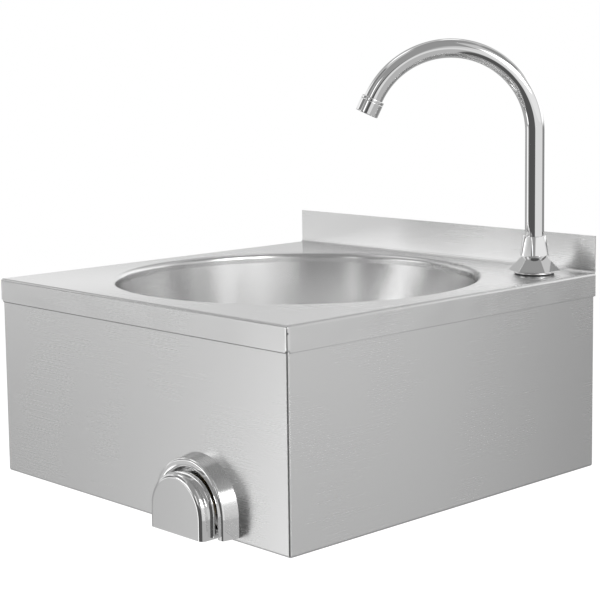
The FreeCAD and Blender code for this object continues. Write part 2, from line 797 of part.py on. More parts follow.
def make_knee_housing():
    front = panel_face - housing_depth
    body = Part.makeLoft([arch(housing_radius, panel_face), arch(housing_rim, front)], True, True)
    body = body.cut(arch_block(housing_opening, -sheet, housing_depth + sheet, 2 * knee_foot))

    def is_front(p):
        return near(p.y, front)

    def distance(edge):
        middle = edge.valueAt(sum(edge.ParameterRange) / 2)
        return math.hypot(middle.x - knee_offset, max(middle.z - arch_z, 0))

    def front_edges():
        edges = edges_where(body, is_front)
        return [edge for edge in edges if not near(edge.BoundBox.ZMax, edge.BoundBox.ZMin)]

    rim_middle = (housing_opening + housing_rim) / 2
    body = body.makeFillet(housing_edge, [e for e in front_edges() if distance(e) > rim_middle])
    body = body.makeFillet(housing_lip, [e for e in front_edges() if distance(e) < rim_middle])

    pocket_depth = housing_depth - housing_wall
    pocket_foot = knee_foot - housing_wall
    pocket = Part.makeLoft([arch(housing_radius - housing_wall, panel_face, pocket_foot),
                            arch(housing_rim - housing_wall, front + housing_wall, pocket_foot)],
                           True, True)
    inner_side = arch_block(housing_opening + housing_inner_wall, -sheet, housing_depth,
                            2 * knee_foot)
    pocket = pocket.cut(inner_side)
    bosses = [rod(screw_boss, 0, pocket_depth, place, OUTWARD) for place in housing_screw_places()]
    pocket = pocket.cut(bosses)
    body = body.cut(pocket)
    for place in housing_screw_places():
        body = body.cut(rod(housing_screw + thread_clearance, 0, housing_screw_grip + chamfer,
                            place, OUTWARD))
    pin_reach = housing_opening + housing_inner_wall
    body = body.cut(rod(pin_radius + running, -pin_reach, pin_reach, V(knee_offset, pin_y, pin_z),
                        RIGHT))
    return body


def make_housing_screws():
    screws = []
    for place in housing_screw_places():
        head_end = sheet + housing_screw_head_height
        profile = [(0, -housing_screw_grip), (housing_screw, -housing_screw_grip),
                   (housing_screw, sheet), (housing_screw_head, sheet),
                   (housing_screw_head, head_end - chamfer),
                   (housing_screw_head - chamfer, head_end), (0, head_end)]
        screws.append(turned(profile, place, INWARD))
    return Part.makeCompound(screws)


def make_knee_pad():
    back = pad_front - pad_depth
    pad = arch_block(pad_radius, back, pad_front)
    front = panel_face - pad_front
    round_edges = [e for e in edges_where(pad, lambda p: near(p.y, front))
                   if not near(e.BoundBox.ZMax, e.BoundBox.ZMin)]
    pad = pad.makeFillet(pad_edge, round_edges)
    for side in (-1, 1):
        outer = knee_offset + side * pad_radius
        start = V(min(outer, outer - side * pad_wall), pin_y, pin_z)
        ear = rod(ear_radius, 0, pad_wall, start, RIGHT)
        web = block(start.x, start.x + pad_wall, pin_y - ear_radius, pin_y, pin_z - ear_radius,
                    pin_z + ear_radius)
        pad = pad.fuse([ear, web])
    hollow_radius = pad_radius - pad_wall
    hollow = arch_block(hollow_radius, 0, pad_front - pad_wall, knee_foot - pad_wall)
    hollow_front = panel_face - pad_front + pad_wall
    hollow_edges = [e for e in edges_where(hollow, lambda p: near(p.y, hollow_front))
                    if not near(e.BoundBox.ZMax, e.BoundBox.ZMin)]
    hollow = hollow.makeFillet(pad_edge - pad_wall, hollow_edges)
    pad = pad.cut(hollow)
    boss = turned([(0, boss_face), (pad_boss - chamfer, boss_face), (pad_boss, boss_face + chamfer),
                   (pad_boss, pad_front - pad_wall / 2), (0, pad_front - pad_wall / 2)],
                  valve_axis, OUTWARD)
    pad = pad.fuse(boss)
    reach = pad_radius + pad_wall
    pad = pad.cut(rod(pin_radius + running, -reach, reach, V(knee_offset, pin_y, pin_z), RIGHT))
    return pad.removeSplitter()


def make_pad_pin():
    half = housing_opening + housing_inner_wall
    return rod(pin_radius, -half, half, V(knee_offset, pin_y, pin_z), RIGHT)


def make_valve_body():
    flange_start = sheet + valve_washer
    flange_end = flange_start + valve_flange_height
    inlet_bore = shank_radius + thread_clearance
    profile = [(chamber_radius, -neck_length), (neck_radius - chamfer, -neck_length),
               (neck_radius, chamfer - neck_length), (neck_radius, flange_start),
               (valve_flange, flange_start), (valve_flange, flange_end),
               (barrel_radius, flange_end), (barrel_radius, barrel_end),
               (inlet_bore, barrel_end), (inlet_bore, spring_end), (spring_chamber, spring_end),
               (spring_chamber, seat_back), (seat_hole, seat_back), (seat_hole, seat_front),
               (chamber_radius, seat_front)]
    body = turned(profile, valve_axis, INWARD)
    outlet = valve_axis + INWARD * outlet_back
    end = barrel_radius + boss_length + chamfer
    boss = [(0, chamber_radius + chamfer), (shank_radius, chamber_radius + chamfer),
            (shank_radius, end - chamfer), (shank_radius - chamfer, end), (0, end)]
    body = body.fuse(turned(boss, outlet, RIGHT))
    body = body.cut(rod(shank_bore, chamber_radius / 2, end, outlet, RIGHT))
    return body.removeSplitter()


def make_valve_gland():
    pocket = spindle_radius + running + 2 * o_ring
    inner = gland_length - neck_length
    profile = [(spindle_radius + running, -neck_length - gland_head_height),
               (gland_head, -neck_length - gland_head_height), (gland_head, -neck_length),
               (chamber_radius - thread_clearance, -neck_length),
               (chamber_radius - thread_clearance, inner), (pocket, inner),
               (pocket, inner - 2 * o_ring - running),
               (spindle_radius + running, inner - 2 * o_ring - running)]
    return turned(profile, valve_axis, INWARD)


def make_spindle():
    tip = apart - boss_face
    profile = [(0, tip), (spindle_radius - chamfer, tip), (spindle_radius, tip + chamfer),
               (spindle_radius, poppet_front),
               (poppet_radius, poppet_front), (poppet_radius, poppet_back),
               (spindle_guide, poppet_back), (spindle_guide, poppet_back + spindle_guide_length),
               (0, poppet_back + spindle_guide_length)]
    return turned(profile, valve_axis, INWARD)


def make_valve_spring():
    spring = coil(spring_radius, spring_wire, spring_room - spring_wire - running, spring_turns)
    base = valve_axis + INWARD * (poppet_back + spring_wire / 2 + running)
    spring.Placement = FreeCAD.Placement(base, FreeCAD.Rotation(UP, INWARD))
    return spring


def make_valve_inlet():
    plug = ring(seat_hole, shank_radius, spring_end, barrel_end)
    hexagonal = hex_nut(union_flats, seat_hole, barrel_end, barrel_end + union_hex, V(), UP)
    boss = turned([(seat_hole, barrel_end + union_hex), (shank_radius, barrel_end + union_hex),
                   (shank_radius, union_end - chamfer), (shank_radius - chamfer, union_end),
                   (seat_hole, union_end)])
    inlet = plug.fuse([hexagonal, boss]).removeSplitter()
    inlet.Placement = FreeCAD.Placement(valve_axis, FreeCAD.Rotation(UP, INWARD))
    return inlet


# ---------------------------------------------------------------- mixer
mixer_axis = V(knee_offset, -mixer_setback, valve_z)
mixer_outlet = mixer_radius + boss_length + chamfer
inlet_end = inlet_collar_end + inlet_thread
rotor_bore = rotor_radius + running


def inlet_axes():
    """The hot and cold inlets' axes at the mixer's height."""
    return [mixer_axis + RIGHT * side for side in (-inlet_spread, inlet_spread)]


def make_mixer_body():
    body = turned([(0, -mixer_half), (mixer_radius - chamfer, -mixer_half),
                   (mixer_radius, chamfer - mixer_half), (mixer_radius, mixer_half - chamfer),
                   (mixer_radius - chamfer, mixer_half), (0, mixer_half)], mixer_axis, RIGHT)
    body = body.fuse(turned([(0, 0), (shank_radius, 0), (shank_radius, mixer_outlet - chamfer),
                             (shank_radius - chamfer, mixer_outlet), (0, mixer_outlet)],
                            mixer_axis, OUTWARD))
    body = body.fuse(rod(bonnet_boss, 0, bonnet_end, mixer_axis, DOWN))
    for axis in inlet_axes():
        profile = [(0, 0), (inlet_collar, 0), (inlet_collar, inlet_collar_end),
                   (shank_radius, inlet_collar_end), (shank_radius, inlet_end - chamfer),
                   (shank_radius - chamfer, inlet_end), (0, inlet_end)]
        body = body.fuse(turned(profile, axis, DOWN))
    body = body.cut(rod(mixer_passage, -inlet_spread, inlet_spread, mixer_axis, RIGHT))
    body = body.cut(rod(mixer_passage, 0, mixer_outlet, mixer_axis, OUTWARD))
    for axis in inlet_axes():
        body = body.cut(rod(inlet_bore, -mixer_passage, inlet_end, axis, DOWN))
    body = body.cut(rod(rotor_bore, -rotor_top - apart, bonnet_end, mixer_axis, DOWN))
    return body.removeSplitter()


def make_mixer_bonnet():
    profile = [(stem_radius + running, rotor_bottom + apart),
               (rotor_bore - thread_clearance, rotor_bottom + apart),
               (rotor_bore - thread_clearance, bonnet_end), (bonnet_head, bonnet_end),
               (bonnet_head, bonnet_end + bonnet_head_height),
               (stem_radius + running, bonnet_end + bonnet_head_height)]
    return turned(profile, mixer_axis, DOWN)


def make_mixer_spindle():
    profile = [(0, -rotor_top), (rotor_radius, -rotor_top), (rotor_radius, rotor_bottom),
               (stem_radius, rotor_bottom), (stem_radius, stem_end), (0, stem_end)]
    spindle = turned(profile, mixer_axis, DOWN)
    # the port: open to the front and to both sides, so that it blends the two supplies
    port = block(-rotor_radius, rotor_radius, -rotor_radius, stem_radius / 2,
                 -mixer_passage, mixer_passage)
    port.translate(mixer_axis)
    screw_hole = rod(knob_screw + running, stem_end - stem_radius, stem_end, mixer_axis, DOWN)
    return spindle.cut(port).cut(screw_hole)


def make_mixer_knob():
    low = bonnet_end + bonnet_head_height + apart
    high = low + knob_height
    recess = knob_screw_head + apart
    profile = [(stem_radius + running, low), (knob_radius, low), (knob_radius, high - chamfer),
               (knob_radius - chamfer, high), (recess, high), (recess, stem_end),
               (stem_radius + running, stem_end)]
    knob = turned(profile, mixer_axis, DOWN)
    for i in range(knob_grips):
        angle = math.radians(360 / knob_grips * (i + 0.5))
        place = mixer_axis + V(math.cos(angle), math.sin(angle), 0) * (knob_radius + knob_grip / 2)
        knob = knob.cut(rod(knob_grip, low, high, place, DOWN))
    return knob


def make_knob_screw():
    profile = [(0, stem_end - stem_radius), (knob_screw, stem_end - stem_radius),
               (knob_screw, stem_end), (knob_screw_head, stem_end),
               (knob_screw_head, stem_end + knob_screw), (0, stem_end + knob_screw)]
    return turned(profile, mixer_axis, DOWN)


def make_check_valves():
    valves = []
    radius = inlet_bore - running
    end = inlet_end - filter_height
    start = end - check_valve_length
    for axis in inlet_axes():
        profile = [(0, start), (radius / 2, start), (radius / 2, start + chamfer),
                   (radius, start + 2 * chamfer), (radius, end), (radius - chamfer, end),
                   (radius - 2 * chamfer, end - 2 * chamfer), (0, end - 2 * chamfer)]
        valves.append(turned(profile, axis, DOWN))
    return Part.makeCompound(valves)


def make_inlet_filters():
    filters = []
    for axis in inlet_axes():
        start = inlet_end - filter_height
        profile = [(0, start), (inlet_bore - running, start), (inlet_bore - running, inlet_end),
                   (0, inlet_end - chamfer)]
        filters.append(turned(profile, axis, DOWN))
    return Part.makeCompound(filters)


# ---------------------------------------------------------------- pipes
def pipe_joints():
    """End and direction of each threaded boss that takes a pipe nut."""
    valve_outlet = valve_axis + INWARD * outlet_back
    valve_outlet += RIGHT * (barrel_radius + boss_length + chamfer)
    return [(valve_outlet, RIGHT), (tap_axis + DOWN * shank_length, DOWN),
            (valve_axis + INWARD * union_end, INWARD),
            (mixer_axis + OUTWARD * mixer_outlet, OUTWARD)]


def make_pipe_nuts():
    nuts = []
    wall = pipe_seal + pipe_collar_height
    bore = shank_radius + thread_clearance
    for end, direction in pipe_joints():
        nut = hex_nut(nut_flats, pipe_radius + apart, -nut_grip, wall + nut_end, end, direction)
        nuts.append(nut.cut(rod(bore, -nut_grip, wall, end, direction)))
    return Part.makeCompound(nuts)


def make_pipe_seals():
    rings = [ring(shank_bore, pipe_collar, 0, pipe_seal, end, direction)
             for end, direction in pipe_joints()]
    return Part.makeCompound(rings)


def collared_pipe(points, joints):
    """A hollow pipe along the points, with a collar at each end."""
    pipe = bent_pipe(points, pipe_radius, pipe_bend)
    for end, direction in joints:
        pipe = pipe.fuse(rod(pipe_collar, pipe_seal, pipe_seal + pipe_collar_height, end,
                             direction))
    return pipe.cut(bent_pipe(points, pipe_radius - pipe_wall, pipe_bend)).removeSplitter()


def make_riser_pipe():
    (outlet, sideways), (shank_end, down) = pipe_joints()[:2]
    points = [outlet + sideways * pipe_seal, V(tap_x, outlet.y, outlet.z),
              V(tap_x, tap_y, outlet.z), shank_end + down * pipe_seal]
    return collared_pipe(points, pipe_joints()[:2])


def make_supply_pipe():
    joints = pipe_joints()[2:]
    points = [end + direction * pipe_seal for end, direction in joints]
    return collared_pipe(points, joints)


# ---------------------------------------------------------------- every sub-part
def make_parts():
    rubber_low, rubber_high = below_deck(0, tap_rubber)
    steel_low, steel_high = below_deck(tap_rubber, tap_steel)
    nut_low, nut_high = below_deck(tap_rubber + tap_steel, back_nut_height)
    washer_bore = shank_radius + hole_clearance
    return {
        "deck": make_deck(),
        "bowl": make_bowl(),
        "skirt": make_skirt(),
        "hook_rail": make_hook_rail(),
        "wall_bracket": make_wall_bracket(),
        "waste_strainer": make_waste_strainer(),
        "waste_screw": make_waste_screw(),
        "waste_upper_seal": ring(waste_hole, strainer_radius, seat_top, seat_top + waste_seal,
                                 waste_axis),
        "waste_lower_seal": ring(waste_hole, waste_flange, waste_top, waste_top + lower_seal,
                                 waste_axis),
        "waste_body": make_waste_body(),
        "tap_foot_seal": ring(shank_radius + hole_clearance, foot_radius - apart, 0, foot_seal,
                              tap_axis),
        "tap_base": make_tap_base(),
        "spout_nut": make_spout_nut(),
        "spout_tube": make_spout_tube(),
        "spout_tail": make_spout_tail(),
        "spout_slip_ring": ring(tail_radius + apart, spigot_radius, spigot_top,
                                spigot_top + slip_ring, tap_axis),
        "spout_o_rings": make_spout_o_rings(),
        "aerator_shell": make_aerator_shell(),
        "aerator_insert": make_aerator_insert(),
        "aerator_washer": make_aerator_washer(),
        "tap_shank": make_tap_shank(),
        "tap_rubber_washer": ring(washer_bore, tap_washer_radius, rubber_low, rubber_high,
                                  tap_axis),
        "tap_steel_washer": ring(washer_bore, tap_washer_radius, steel_low, steel_high, tap_axis),
        "tap_back_nut": hex_nut(back_nut_flats, shank_radius + thread_clearance, nut_low, nut_high,
                                tap_axis, UP),
        "knee_housing": make_knee_housing(),
        "housing_screws": make_housing_screws(),
        "knee_pad": make_knee_pad(),
        "pad_pin": make_pad_pin(),
        "valve_body": make_valve_body(),
        "valve_lock_nut": hex_nut(valve_lock_flats, neck_radius + thread_clearance,
                                  -valve_lock_height, 0, valve_axis, INWARD),
        "valve_panel_washer": ring(neck_radius + hole_clearance, valve_flange, sheet,
                                   sheet + valve_washer, valve_axis, INWARD),
        "valve_gland": make_valve_gland(),
        "spindle": make_spindle(),
        "spindle_o_ring": o_shaped(spindle_radius + running + o_ring, o_ring,
                                gland_length - neck_length - o_ring, valve_axis, INWARD),
        "poppet_washer": ring(spindle_radius + running, poppet_radius, seat_back + seat_gap,
                              poppet_front, valve_axis, INWARD),
        "valve_spring": make_valve_spring(),
        "valve_inlet": make_valve_inlet(),
        "riser_pipe": make_riser_pipe(),
        "supply_pipe": make_supply_pipe(),
        "pipe_nuts": make_pipe_nuts(),
        "pipe_seals": make_pipe_seals(),
        "mixer_body": make_mixer_body(),
        "mixer_bonnet": make_mixer_bonnet(),
        "mixer_spindle": make_mixer_spindle(),
        "mixer_knob": make_mixer_knob(),
        "knob_screw": make_knob_screw(),
        "check_valves": make_check_valves(),
        "inlet_filters": make_inlet_filters(),
    }


os.makedirs("parts", exist_ok=True)
for name, shape in make_parts().items():
    shape.exportStep("parts/" + name + ".step")
    solids = shape.Solids
    print(name, len(solids), round(shape.Volume, 1), "valid" if shape.isValid() else "INVALID")
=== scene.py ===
import json
import math

import bmesh
import bpy
from mathutils import Matrix, Vector


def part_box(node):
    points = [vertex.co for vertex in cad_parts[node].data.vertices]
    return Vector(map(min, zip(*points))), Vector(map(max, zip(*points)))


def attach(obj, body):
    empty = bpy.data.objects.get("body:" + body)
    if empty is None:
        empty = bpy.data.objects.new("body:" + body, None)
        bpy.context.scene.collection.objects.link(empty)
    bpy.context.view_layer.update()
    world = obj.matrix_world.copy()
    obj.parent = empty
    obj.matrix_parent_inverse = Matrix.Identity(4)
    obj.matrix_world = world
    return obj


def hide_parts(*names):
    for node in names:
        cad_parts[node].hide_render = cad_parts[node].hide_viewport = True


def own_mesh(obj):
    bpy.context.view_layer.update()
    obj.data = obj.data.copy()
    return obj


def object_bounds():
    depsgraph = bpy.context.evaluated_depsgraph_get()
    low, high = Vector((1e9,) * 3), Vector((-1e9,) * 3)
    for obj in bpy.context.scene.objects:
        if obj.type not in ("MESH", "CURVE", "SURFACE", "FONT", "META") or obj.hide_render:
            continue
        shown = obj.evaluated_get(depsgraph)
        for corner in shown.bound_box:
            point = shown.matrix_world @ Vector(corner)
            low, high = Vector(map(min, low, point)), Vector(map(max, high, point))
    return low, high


# The looks of a wall-hung square hand basin with a swan-neck spout and a knee valve.
# Metres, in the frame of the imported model: X to the right, Y to the rear, Z up.

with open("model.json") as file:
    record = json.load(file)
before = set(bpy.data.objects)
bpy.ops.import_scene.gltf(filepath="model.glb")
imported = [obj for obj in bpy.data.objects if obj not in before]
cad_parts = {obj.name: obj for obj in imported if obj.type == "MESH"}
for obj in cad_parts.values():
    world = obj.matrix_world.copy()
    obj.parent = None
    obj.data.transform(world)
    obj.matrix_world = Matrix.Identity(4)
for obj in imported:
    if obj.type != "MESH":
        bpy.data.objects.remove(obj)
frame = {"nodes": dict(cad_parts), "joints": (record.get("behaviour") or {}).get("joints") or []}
cad_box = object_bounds()
nodes = frame["nodes"]
joints = {joint["name"]: joint for joint in frame["joints"]}
MM = 0.001
UP = Vector((0, 0, 1))

# ---------------------------------------------------------------- places read from the frame
deck_low, deck_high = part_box("deck")
bowl_low, bowl_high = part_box("bowl")
bowl_middle = (bowl_low + bowl_high) / 2
tap_foot = Vector(joints["spout_swivel"]["pos_m"])
deck_top = tap_foot.z

# ---------------------------------------------------------------- deck
sheet = 1.2 * MM            # stainless sheet
bend_outside = 2.2 * MM
bend_steps = 6
lip_corner = 1.5 * MM       # welded upright corners of the lips in front
lip_corner_least = 0.2 * MM             # the same at the top of the bend
lip_corner_steps = 5
lip_notch = 2.8 * MM        # relief at the lower end of those corners
lip_notch_side = 2.5 * MM   # width of its slope on each side
lip_edge = 3.0 * MM         # height in which the notch rises
mouth_radius = 176.0 * MM
rim_roll = 5.0 * MM
rim_roll_steps = 8
rim_depth = 9.0 * MM
rim_sides = 192
tap_hole = 11.0 * MM
tap_hole_sides = 48
splash_turn = 2.0 * MM      # radius where the deck turns up
splash_foot = splash_turn + sheet
splash_rise = deck_high.z - deck_top
splash_lean = 0.10          # slope of the splashback at its foot, as its reflections show it
splash_lean_start = 3.0 * MM            # above the deck

# marks of the metalwork on the deck, and a painted shade line along the lips' lower edges; a pair
# is where a mark fades out and where it is full
lip_wave = 0.7 * MM         # depth of the waves in the lips
lip_wave_grain = (13, 13, 25)           # waves to a metre along X, Y and Z
lip_drop = (0.5 * MM, 3.0 * MM)         # under the deck's top
lip_out = (6.0 * MM, 12.0 * MM)         # outside the mouth
weld_reach = (4.0 * MM, 2.0 * MM)       # round a front corner
weld_roughness = 0.13       # ground and buffed
pit_drop = 6.5 * MM         # the pit in each weld, under the deck's top
pit_reach = (2.0 * MM, 1.0 * MM)
# painted shade along the lips' lower edges, standing in for the shadow under them: its heights,
# where it belongs to the front lip, and how dark it is
painted_shade_height = (1.1 * MM, 0.4 * MM)   # dark lower edge of the lips
painted_shade_front = (2.0 * MM, 1.0 * MM)    # behind the front, where it belongs to the front lip
painted_shade_share = (0.20, 0.55)            # darkness on any lip, and what the front lip adds
# darkness of the weld pits and of the painted shade line under the lips
pit_and_shade_level = 0.10

# ---------------------------------------------------------------- tap, heights above the deck
foot_seal = 1.0 * MM
foot_top = 2.3 * MM
cone_low = 3.6 * MM
waist = 16.0 * MM
spigot_top = 30.4 * MM
nut_top = 36.0 * MM
foot_radius = 18.75 * MM
cone_flats = 42.4 * MM
cone_turn = math.radians(31.5)
cone_rounding = 0.7 * MM    # its upright corners
waist_radius = 10.4 * MM
waist_cover = 0.4 * MM      # by which the cone's flats pass the round waist
spigot_radius = 9.7 * MM
tail_bore = 7.6 * MM
nut_low_flats = 27.4 * MM
nut_top_flats = 21.8 * MM
nut_belly = 14.7 * MM
nut_belly_height = 2.5 * MM
nut_roof = 2.2 * MM         # thickness round the tube
nut_turn = math.radians(8.7)
nut_rounding = 6.5 * MM     # its upright corners
nut_rounding_steps = 10
running_gap = 0.3 * MM
tap_sides = 96
sunk = 0.2 * MM             # by which one shape enters another that it is joined to
cut_past = 1.0 * MM         # by which a cutting shape passes what it cuts

# ---------------------------------------------------------------- spout
tube_radius = 9.0 * MM
tube_wall = 1.0 * MM
tube_low = 32.7 * MM
tube_sides = 64
spout_rise = 133.7 * MM
spout_rise_steps = 16
spout_bend = 79.0 * MM
spout_bend_steps = 124
spout_sweep = math.radians(155)
spout_end = 16.0 * MM
shell_radius = 11.0 * MM
shell_length = 15.6 * MM
shell_grip = 8.0 * MM
shell_lip = 2.6 * MM        # width of its lower edge
shell_floor = 1.0 * MM      # thickness of that edge
shell_play = 0.05 * MM
groove_drop = 3.2 * MM      # groove for a key, under the shell's upper end
groove_depth = 0.35 * MM
groove_half = 0.5 * MM

spout_ahead = (Vector((bowl_middle.x, bowl_middle.y, 0)) - Vector((*tap_foot[:2], 0))).normalized()
bend_end = tap_foot + UP * (spout_rise + spout_bend * math.sin(spout_sweep))
bend_end += spout_ahead * (spout_bend * (1 - math.cos(spout_sweep)))
outlet_way = spout_ahead * math.sin(spout_sweep) + UP * math.cos(spout_sweep)
outlet_tip = bend_end + outlet_way * spout_end

# ---------------------------------------------------------------- threads, waste and spring
thread_end = 1.0 * MM       # chamfer on the ends of threads
thread_steps = 6            # rows of points in one turn of a thread
thread_flank = 2.6          # slope of a thread's flanks, in depths to a pitch
thread_crest = 0.15         # part of the depth given up to flat crests and roots
waste_thread = (20.95 * MM, 2.309 * MM, 1.479 * MM)     # radius, pitch, depth of G 1 1/4
shank_thread = (10.48 * MM, 1.814 * MM, 1.162 * MM)     # G 1/2
shank_bore = 6.0 * MM
shank_sides = 48
waste_bore = 18.5 * MM      # round the bridge
waste_tail_bore = 18.0 * MM
waste_neck_radius = 23.0 * MM
waste_flange_height = 3.0 * MM
waste_neck = 15.0 * MM
waste_sides = 72
bridge_drop = 16.0 * MM     # under the flange's top
bridge_height = 6.0 * MM
bridge_rib = 3.0 * MM
bridge_boss = 5.5 * MM
bridge_hole = 3.1 * MM
spring_wire = 1.2 * MM      # diameter
spring_turns = 4            # open turns, between a closed one at each end
spring_closed = 1.25        # pitch of a closed turn, in wire diameters
spring_steps = 32           # points in one turn
spring_sides = 12


# ---------------------------------------------------------------- shader arithmetic
class Value:
    """An output of a shader node that takes part in Python arithmetic."""

    def __init__(self, finish, output):
        self.finish = finish
        self.output = output

    def __add__(self, other):
        return self.finish.maths("ADD", self, other)

    def __sub__(self, other):
        return self.finish.maths("SUBTRACT", self, other)

    def __rsub__(self, other):
        return self.finish.maths("SUBTRACT", other, self)

    def __mul__(self, other):
        return self.finish.maths("MULTIPLY", self, other)

    def __truediv__(self, other):
        return self.finish.maths("DIVIDE", self, other)

    def __pow__(self, other):
        return self.finish.maths("POWER", self, other)

    def __abs__(self):
        return self.finish.maths("ABSOLUTE", self)

    __radd__ = __add__
    __rmul__ = __mul__


class Finish:
    """The node tree of a material, or of the world, while it is being built."""

    def __init__(self, owner):
        self.owner = owner
        owner.use_nodes = True
        self.tree = owner.node_tree
        self.tree.nodes.clear()

    def node(self, kind, inputs, output=0, **settings):
        """Adds a node: its settings first, then the value or link of each input named."""
        made = self.tree.nodes.new(kind)
        for setting, value in settings.items():
            setattr(made, setting, value)
        for key, value in inputs.items():
            if isinstance(value, Value):
                self.tree.links.new(value.output, made.inputs[key])
            else:
                made.inputs[key].default_value = value
        return Value(self, made.outputs[output]) if made.outputs else None

    def maths(self, operation, *terms):
        return self.node("ShaderNodeMath", dict(enumerate(terms)), operation=operation)

    def step(self, value, low, high):
        """0 below low and 1 above high, with a smooth rise, or the reverse if low is higher."""
        inputs = {"Value": value, "From Min": low, "From Max": high}
        return self.node("ShaderNodeMapRange", inputs, interpolation_type="SMOOTHSTEP")

    # a Mix node has inputs of the same names for each type, so these go by number
    def blend(self, factor, first, second):
        """A number between first and second."""
        return self.node("ShaderNodeMix", {0: factor, 2: first, 3: second}, data_type="FLOAT")

    def tint(self, factor, first, second):
        """A colour between first and second."""
        inputs = {0: factor, 6: first, 7: second}
        return self.node("ShaderNodeMix", inputs, output=2, data_type="RGBA")

    def point(self):
        """The point on the surface, in the frame."""
        return self.node("ShaderNodeTexCoord", {}, output="Object")

    def split(self, vector):
        """The three numbers of a vector."""
        return [self.node("ShaderNodeSeparateXYZ", {0: vector}, output=axis) for axis in "XYZ"]

    def join(self, x, y, z):
        return self.node("ShaderNodeCombineXYZ", {0: x, 1: y, 2: z})

    def noise(self, point, scale, detail=2.0, roughness=0.5):
        inputs = {"Vector": point, "Scale": scale, "Detail": detail, "Roughness": roughness}
        return self.node("ShaderNodeTexNoise", inputs)

    def bump(self, height, distance, strength=1.0, normal=None):
        inputs = {"Height": height, "Distance": distance, "Strength": strength}
        if normal:
            inputs["Normal"] = normal
        return self.node("ShaderNodeBump", inputs)

    def surface(self, **inputs):
        """The surface shader, with the inputs that aren't left alone, and the output."""
        named = {key.replace("_", " "): value for key, value in inputs.items()}
        shader = self.node("ShaderNodeBsdfPrincipled", named)
        self.node("ShaderNodeOutputMaterial", {0: shader})
        return self.owner


def colour(level, warmth=0.0):
    """A grey of this level, a little warm or cold."""
    return (level * (1 + warmth), level, level * (1 - warmth), 1)


# ---------------------------------------------------------------- finishes
# noise cells to a metre; brushing has them along its lines and across
sheet_fine, sheet_broad = (5, 1500), (2, 240)
bowl_fine, bowl_broad = (2.5, 1500), (1.5, 200)     # along: to a radian round the bowl
bowl_streaks = (60, 4)      # across, and up the wall
cloud_grain = 9.0
smear_grain = 60.0
polish_grain = 900.0
patch_grain = 120.0
tool_grain = 2500.0
mould_patches = 12          # grains of a moulded surface to one of its patches

# how far each of them changes the shade or the roughness
line_shade = 0.004
line_warmth = 0.001
line_rough = 0.02
cloud_rough = 0.03
streak_rough = 0.05
smear_rough = 0.04
polish_rough = 0.02
patch_rough = 0.18
tool_rough = 0.10
mould_rough = 0.15

# shade of smears and dull patches to the rest, and of paler patches: times, and added
smear_shade = 0.985
dull_shade = 0.82
mould_paler = (1.25, 0.01)

# part of the noise's range over which the shade changes
line_change = (0.25, 0.75)
dull_change = (0.35, 0.75)
mould_change = (0.3, 0.7)

faces_aside = (0.6, 0.8)    # share of X in the normal, from the front's brushing to the side's
across_lines = 0.25         # a quarter turn, so that highlights stretch across the brushing


def brushed(finish, fine_point, broad_point, level, roughness):
    """Brushed steel: the shade, roughness and height of lines at stretched points."""
    fine = finish.noise(fine_point, 1.0, detail=3.0)
    broad = finish.noise(broad_point, 1.0)
    cloud = finish.noise(finish.point(), cloud_grain)
    lines = (fine + broad) / 2
    dark = colour(level * (1 - line_shade), line_warmth)
    pale = colour(level * (1 + line_shade))
    base = finish.tint(finish.step(lines, *line_change), dark, pale)
    rough = roughness + (fine - 0.5) * line_rough + (cloud - 0.5) * cloud_rough
    return base, rough, fine


def worked_steel(finish, base, rough, normal):
    """The shade, roughness and normal of the deck, with what its making left on them.

    Its lips are a little wavy and its splashback leans back a little, the lips' lower edges
    carry a painted shade line for the shadow under them, and their front corners are welded
    and ground, with a pit in each weld.
    """
    x, y, z = finish.split(finish.point())
    drop = deck_top - z
    out = (x * x + (y - bowl_middle.y) ** 2) ** 0.5 - mouth_radius
    lip = finish.step(drop, *lip_drop) * finish.step(out, *lip_out)
    stretched = finish.join(*(a * grain for a, grain in zip((x, y, z), lip_wave_grain)))
    wave = finish.noise(stretched, 1.0, detail=1.0)
    above = finish.maths("MAXIMUM", z - (deck_top + splash_lean_start), 0.0)
    back = above * (1 - above / (2 * splash_rise)) * splash_lean
    normal = finish.bump(wave * lip * lip_wave - back, distance=1.0, normal=normal)

    corner = abs(abs(x) - deck_high.x) + abs(y - deck_low.y)
    rough = finish.blend(finish.step(corner, *weld_reach) * lip, rough, weld_roughness)
    pit = finish.step(abs(drop - pit_drop) + corner, *pit_reach)
    # painted shade along the lips' lower edges, darker on the front lip, standing in for the
    # shadow under them
    any_lip, front_lip = painted_shade_share
    in_front = finish.step(y - deck_low.y, *painted_shade_front)
    painted_shade_line = finish.step(z - deck_low.z, *painted_shade_height) * (in_front * front_lip + any_lip)
    base = finish.tint(finish.maths("MAXIMUM", painted_shade_line, pit), base, colour(pit_and_shade_level))
    return base, rough, normal


def sheet_steel(name, level, roughness, worked=False):
    """Brushed stainless sheet: lines along X on top and in front, along Y on the sides."""
    finish = Finish(bpy.data.materials.new(name))
    x, y, z = finish.split(finish.point())
    normal = finish.node("ShaderNodeNewGeometry", {}, output="Normal")
    side = finish.step(abs(finish.split(normal)[0]), *faces_aside)
    along, across = finish.blend(side, x, y), finish.blend(side, y, x)
    fine, broad = [finish.join(along * run, across * grain, z * grain)
                   for run, grain in (sheet_fine, sheet_broad)]
    base, rough, height = brushed(finish, fine, broad, level, roughness)
    normal = finish.bump(height, distance=0.01 * MM, strength=0.03)
    if worked:
        base, rough, normal = worked_steel(finish, base, rough, normal)
    return finish.surface(Base_Color=base, Metallic=1.0, Roughness=rough, Anisotropic=0.7,
                          Anisotropic_Rotation=across_lines, Normal=normal)


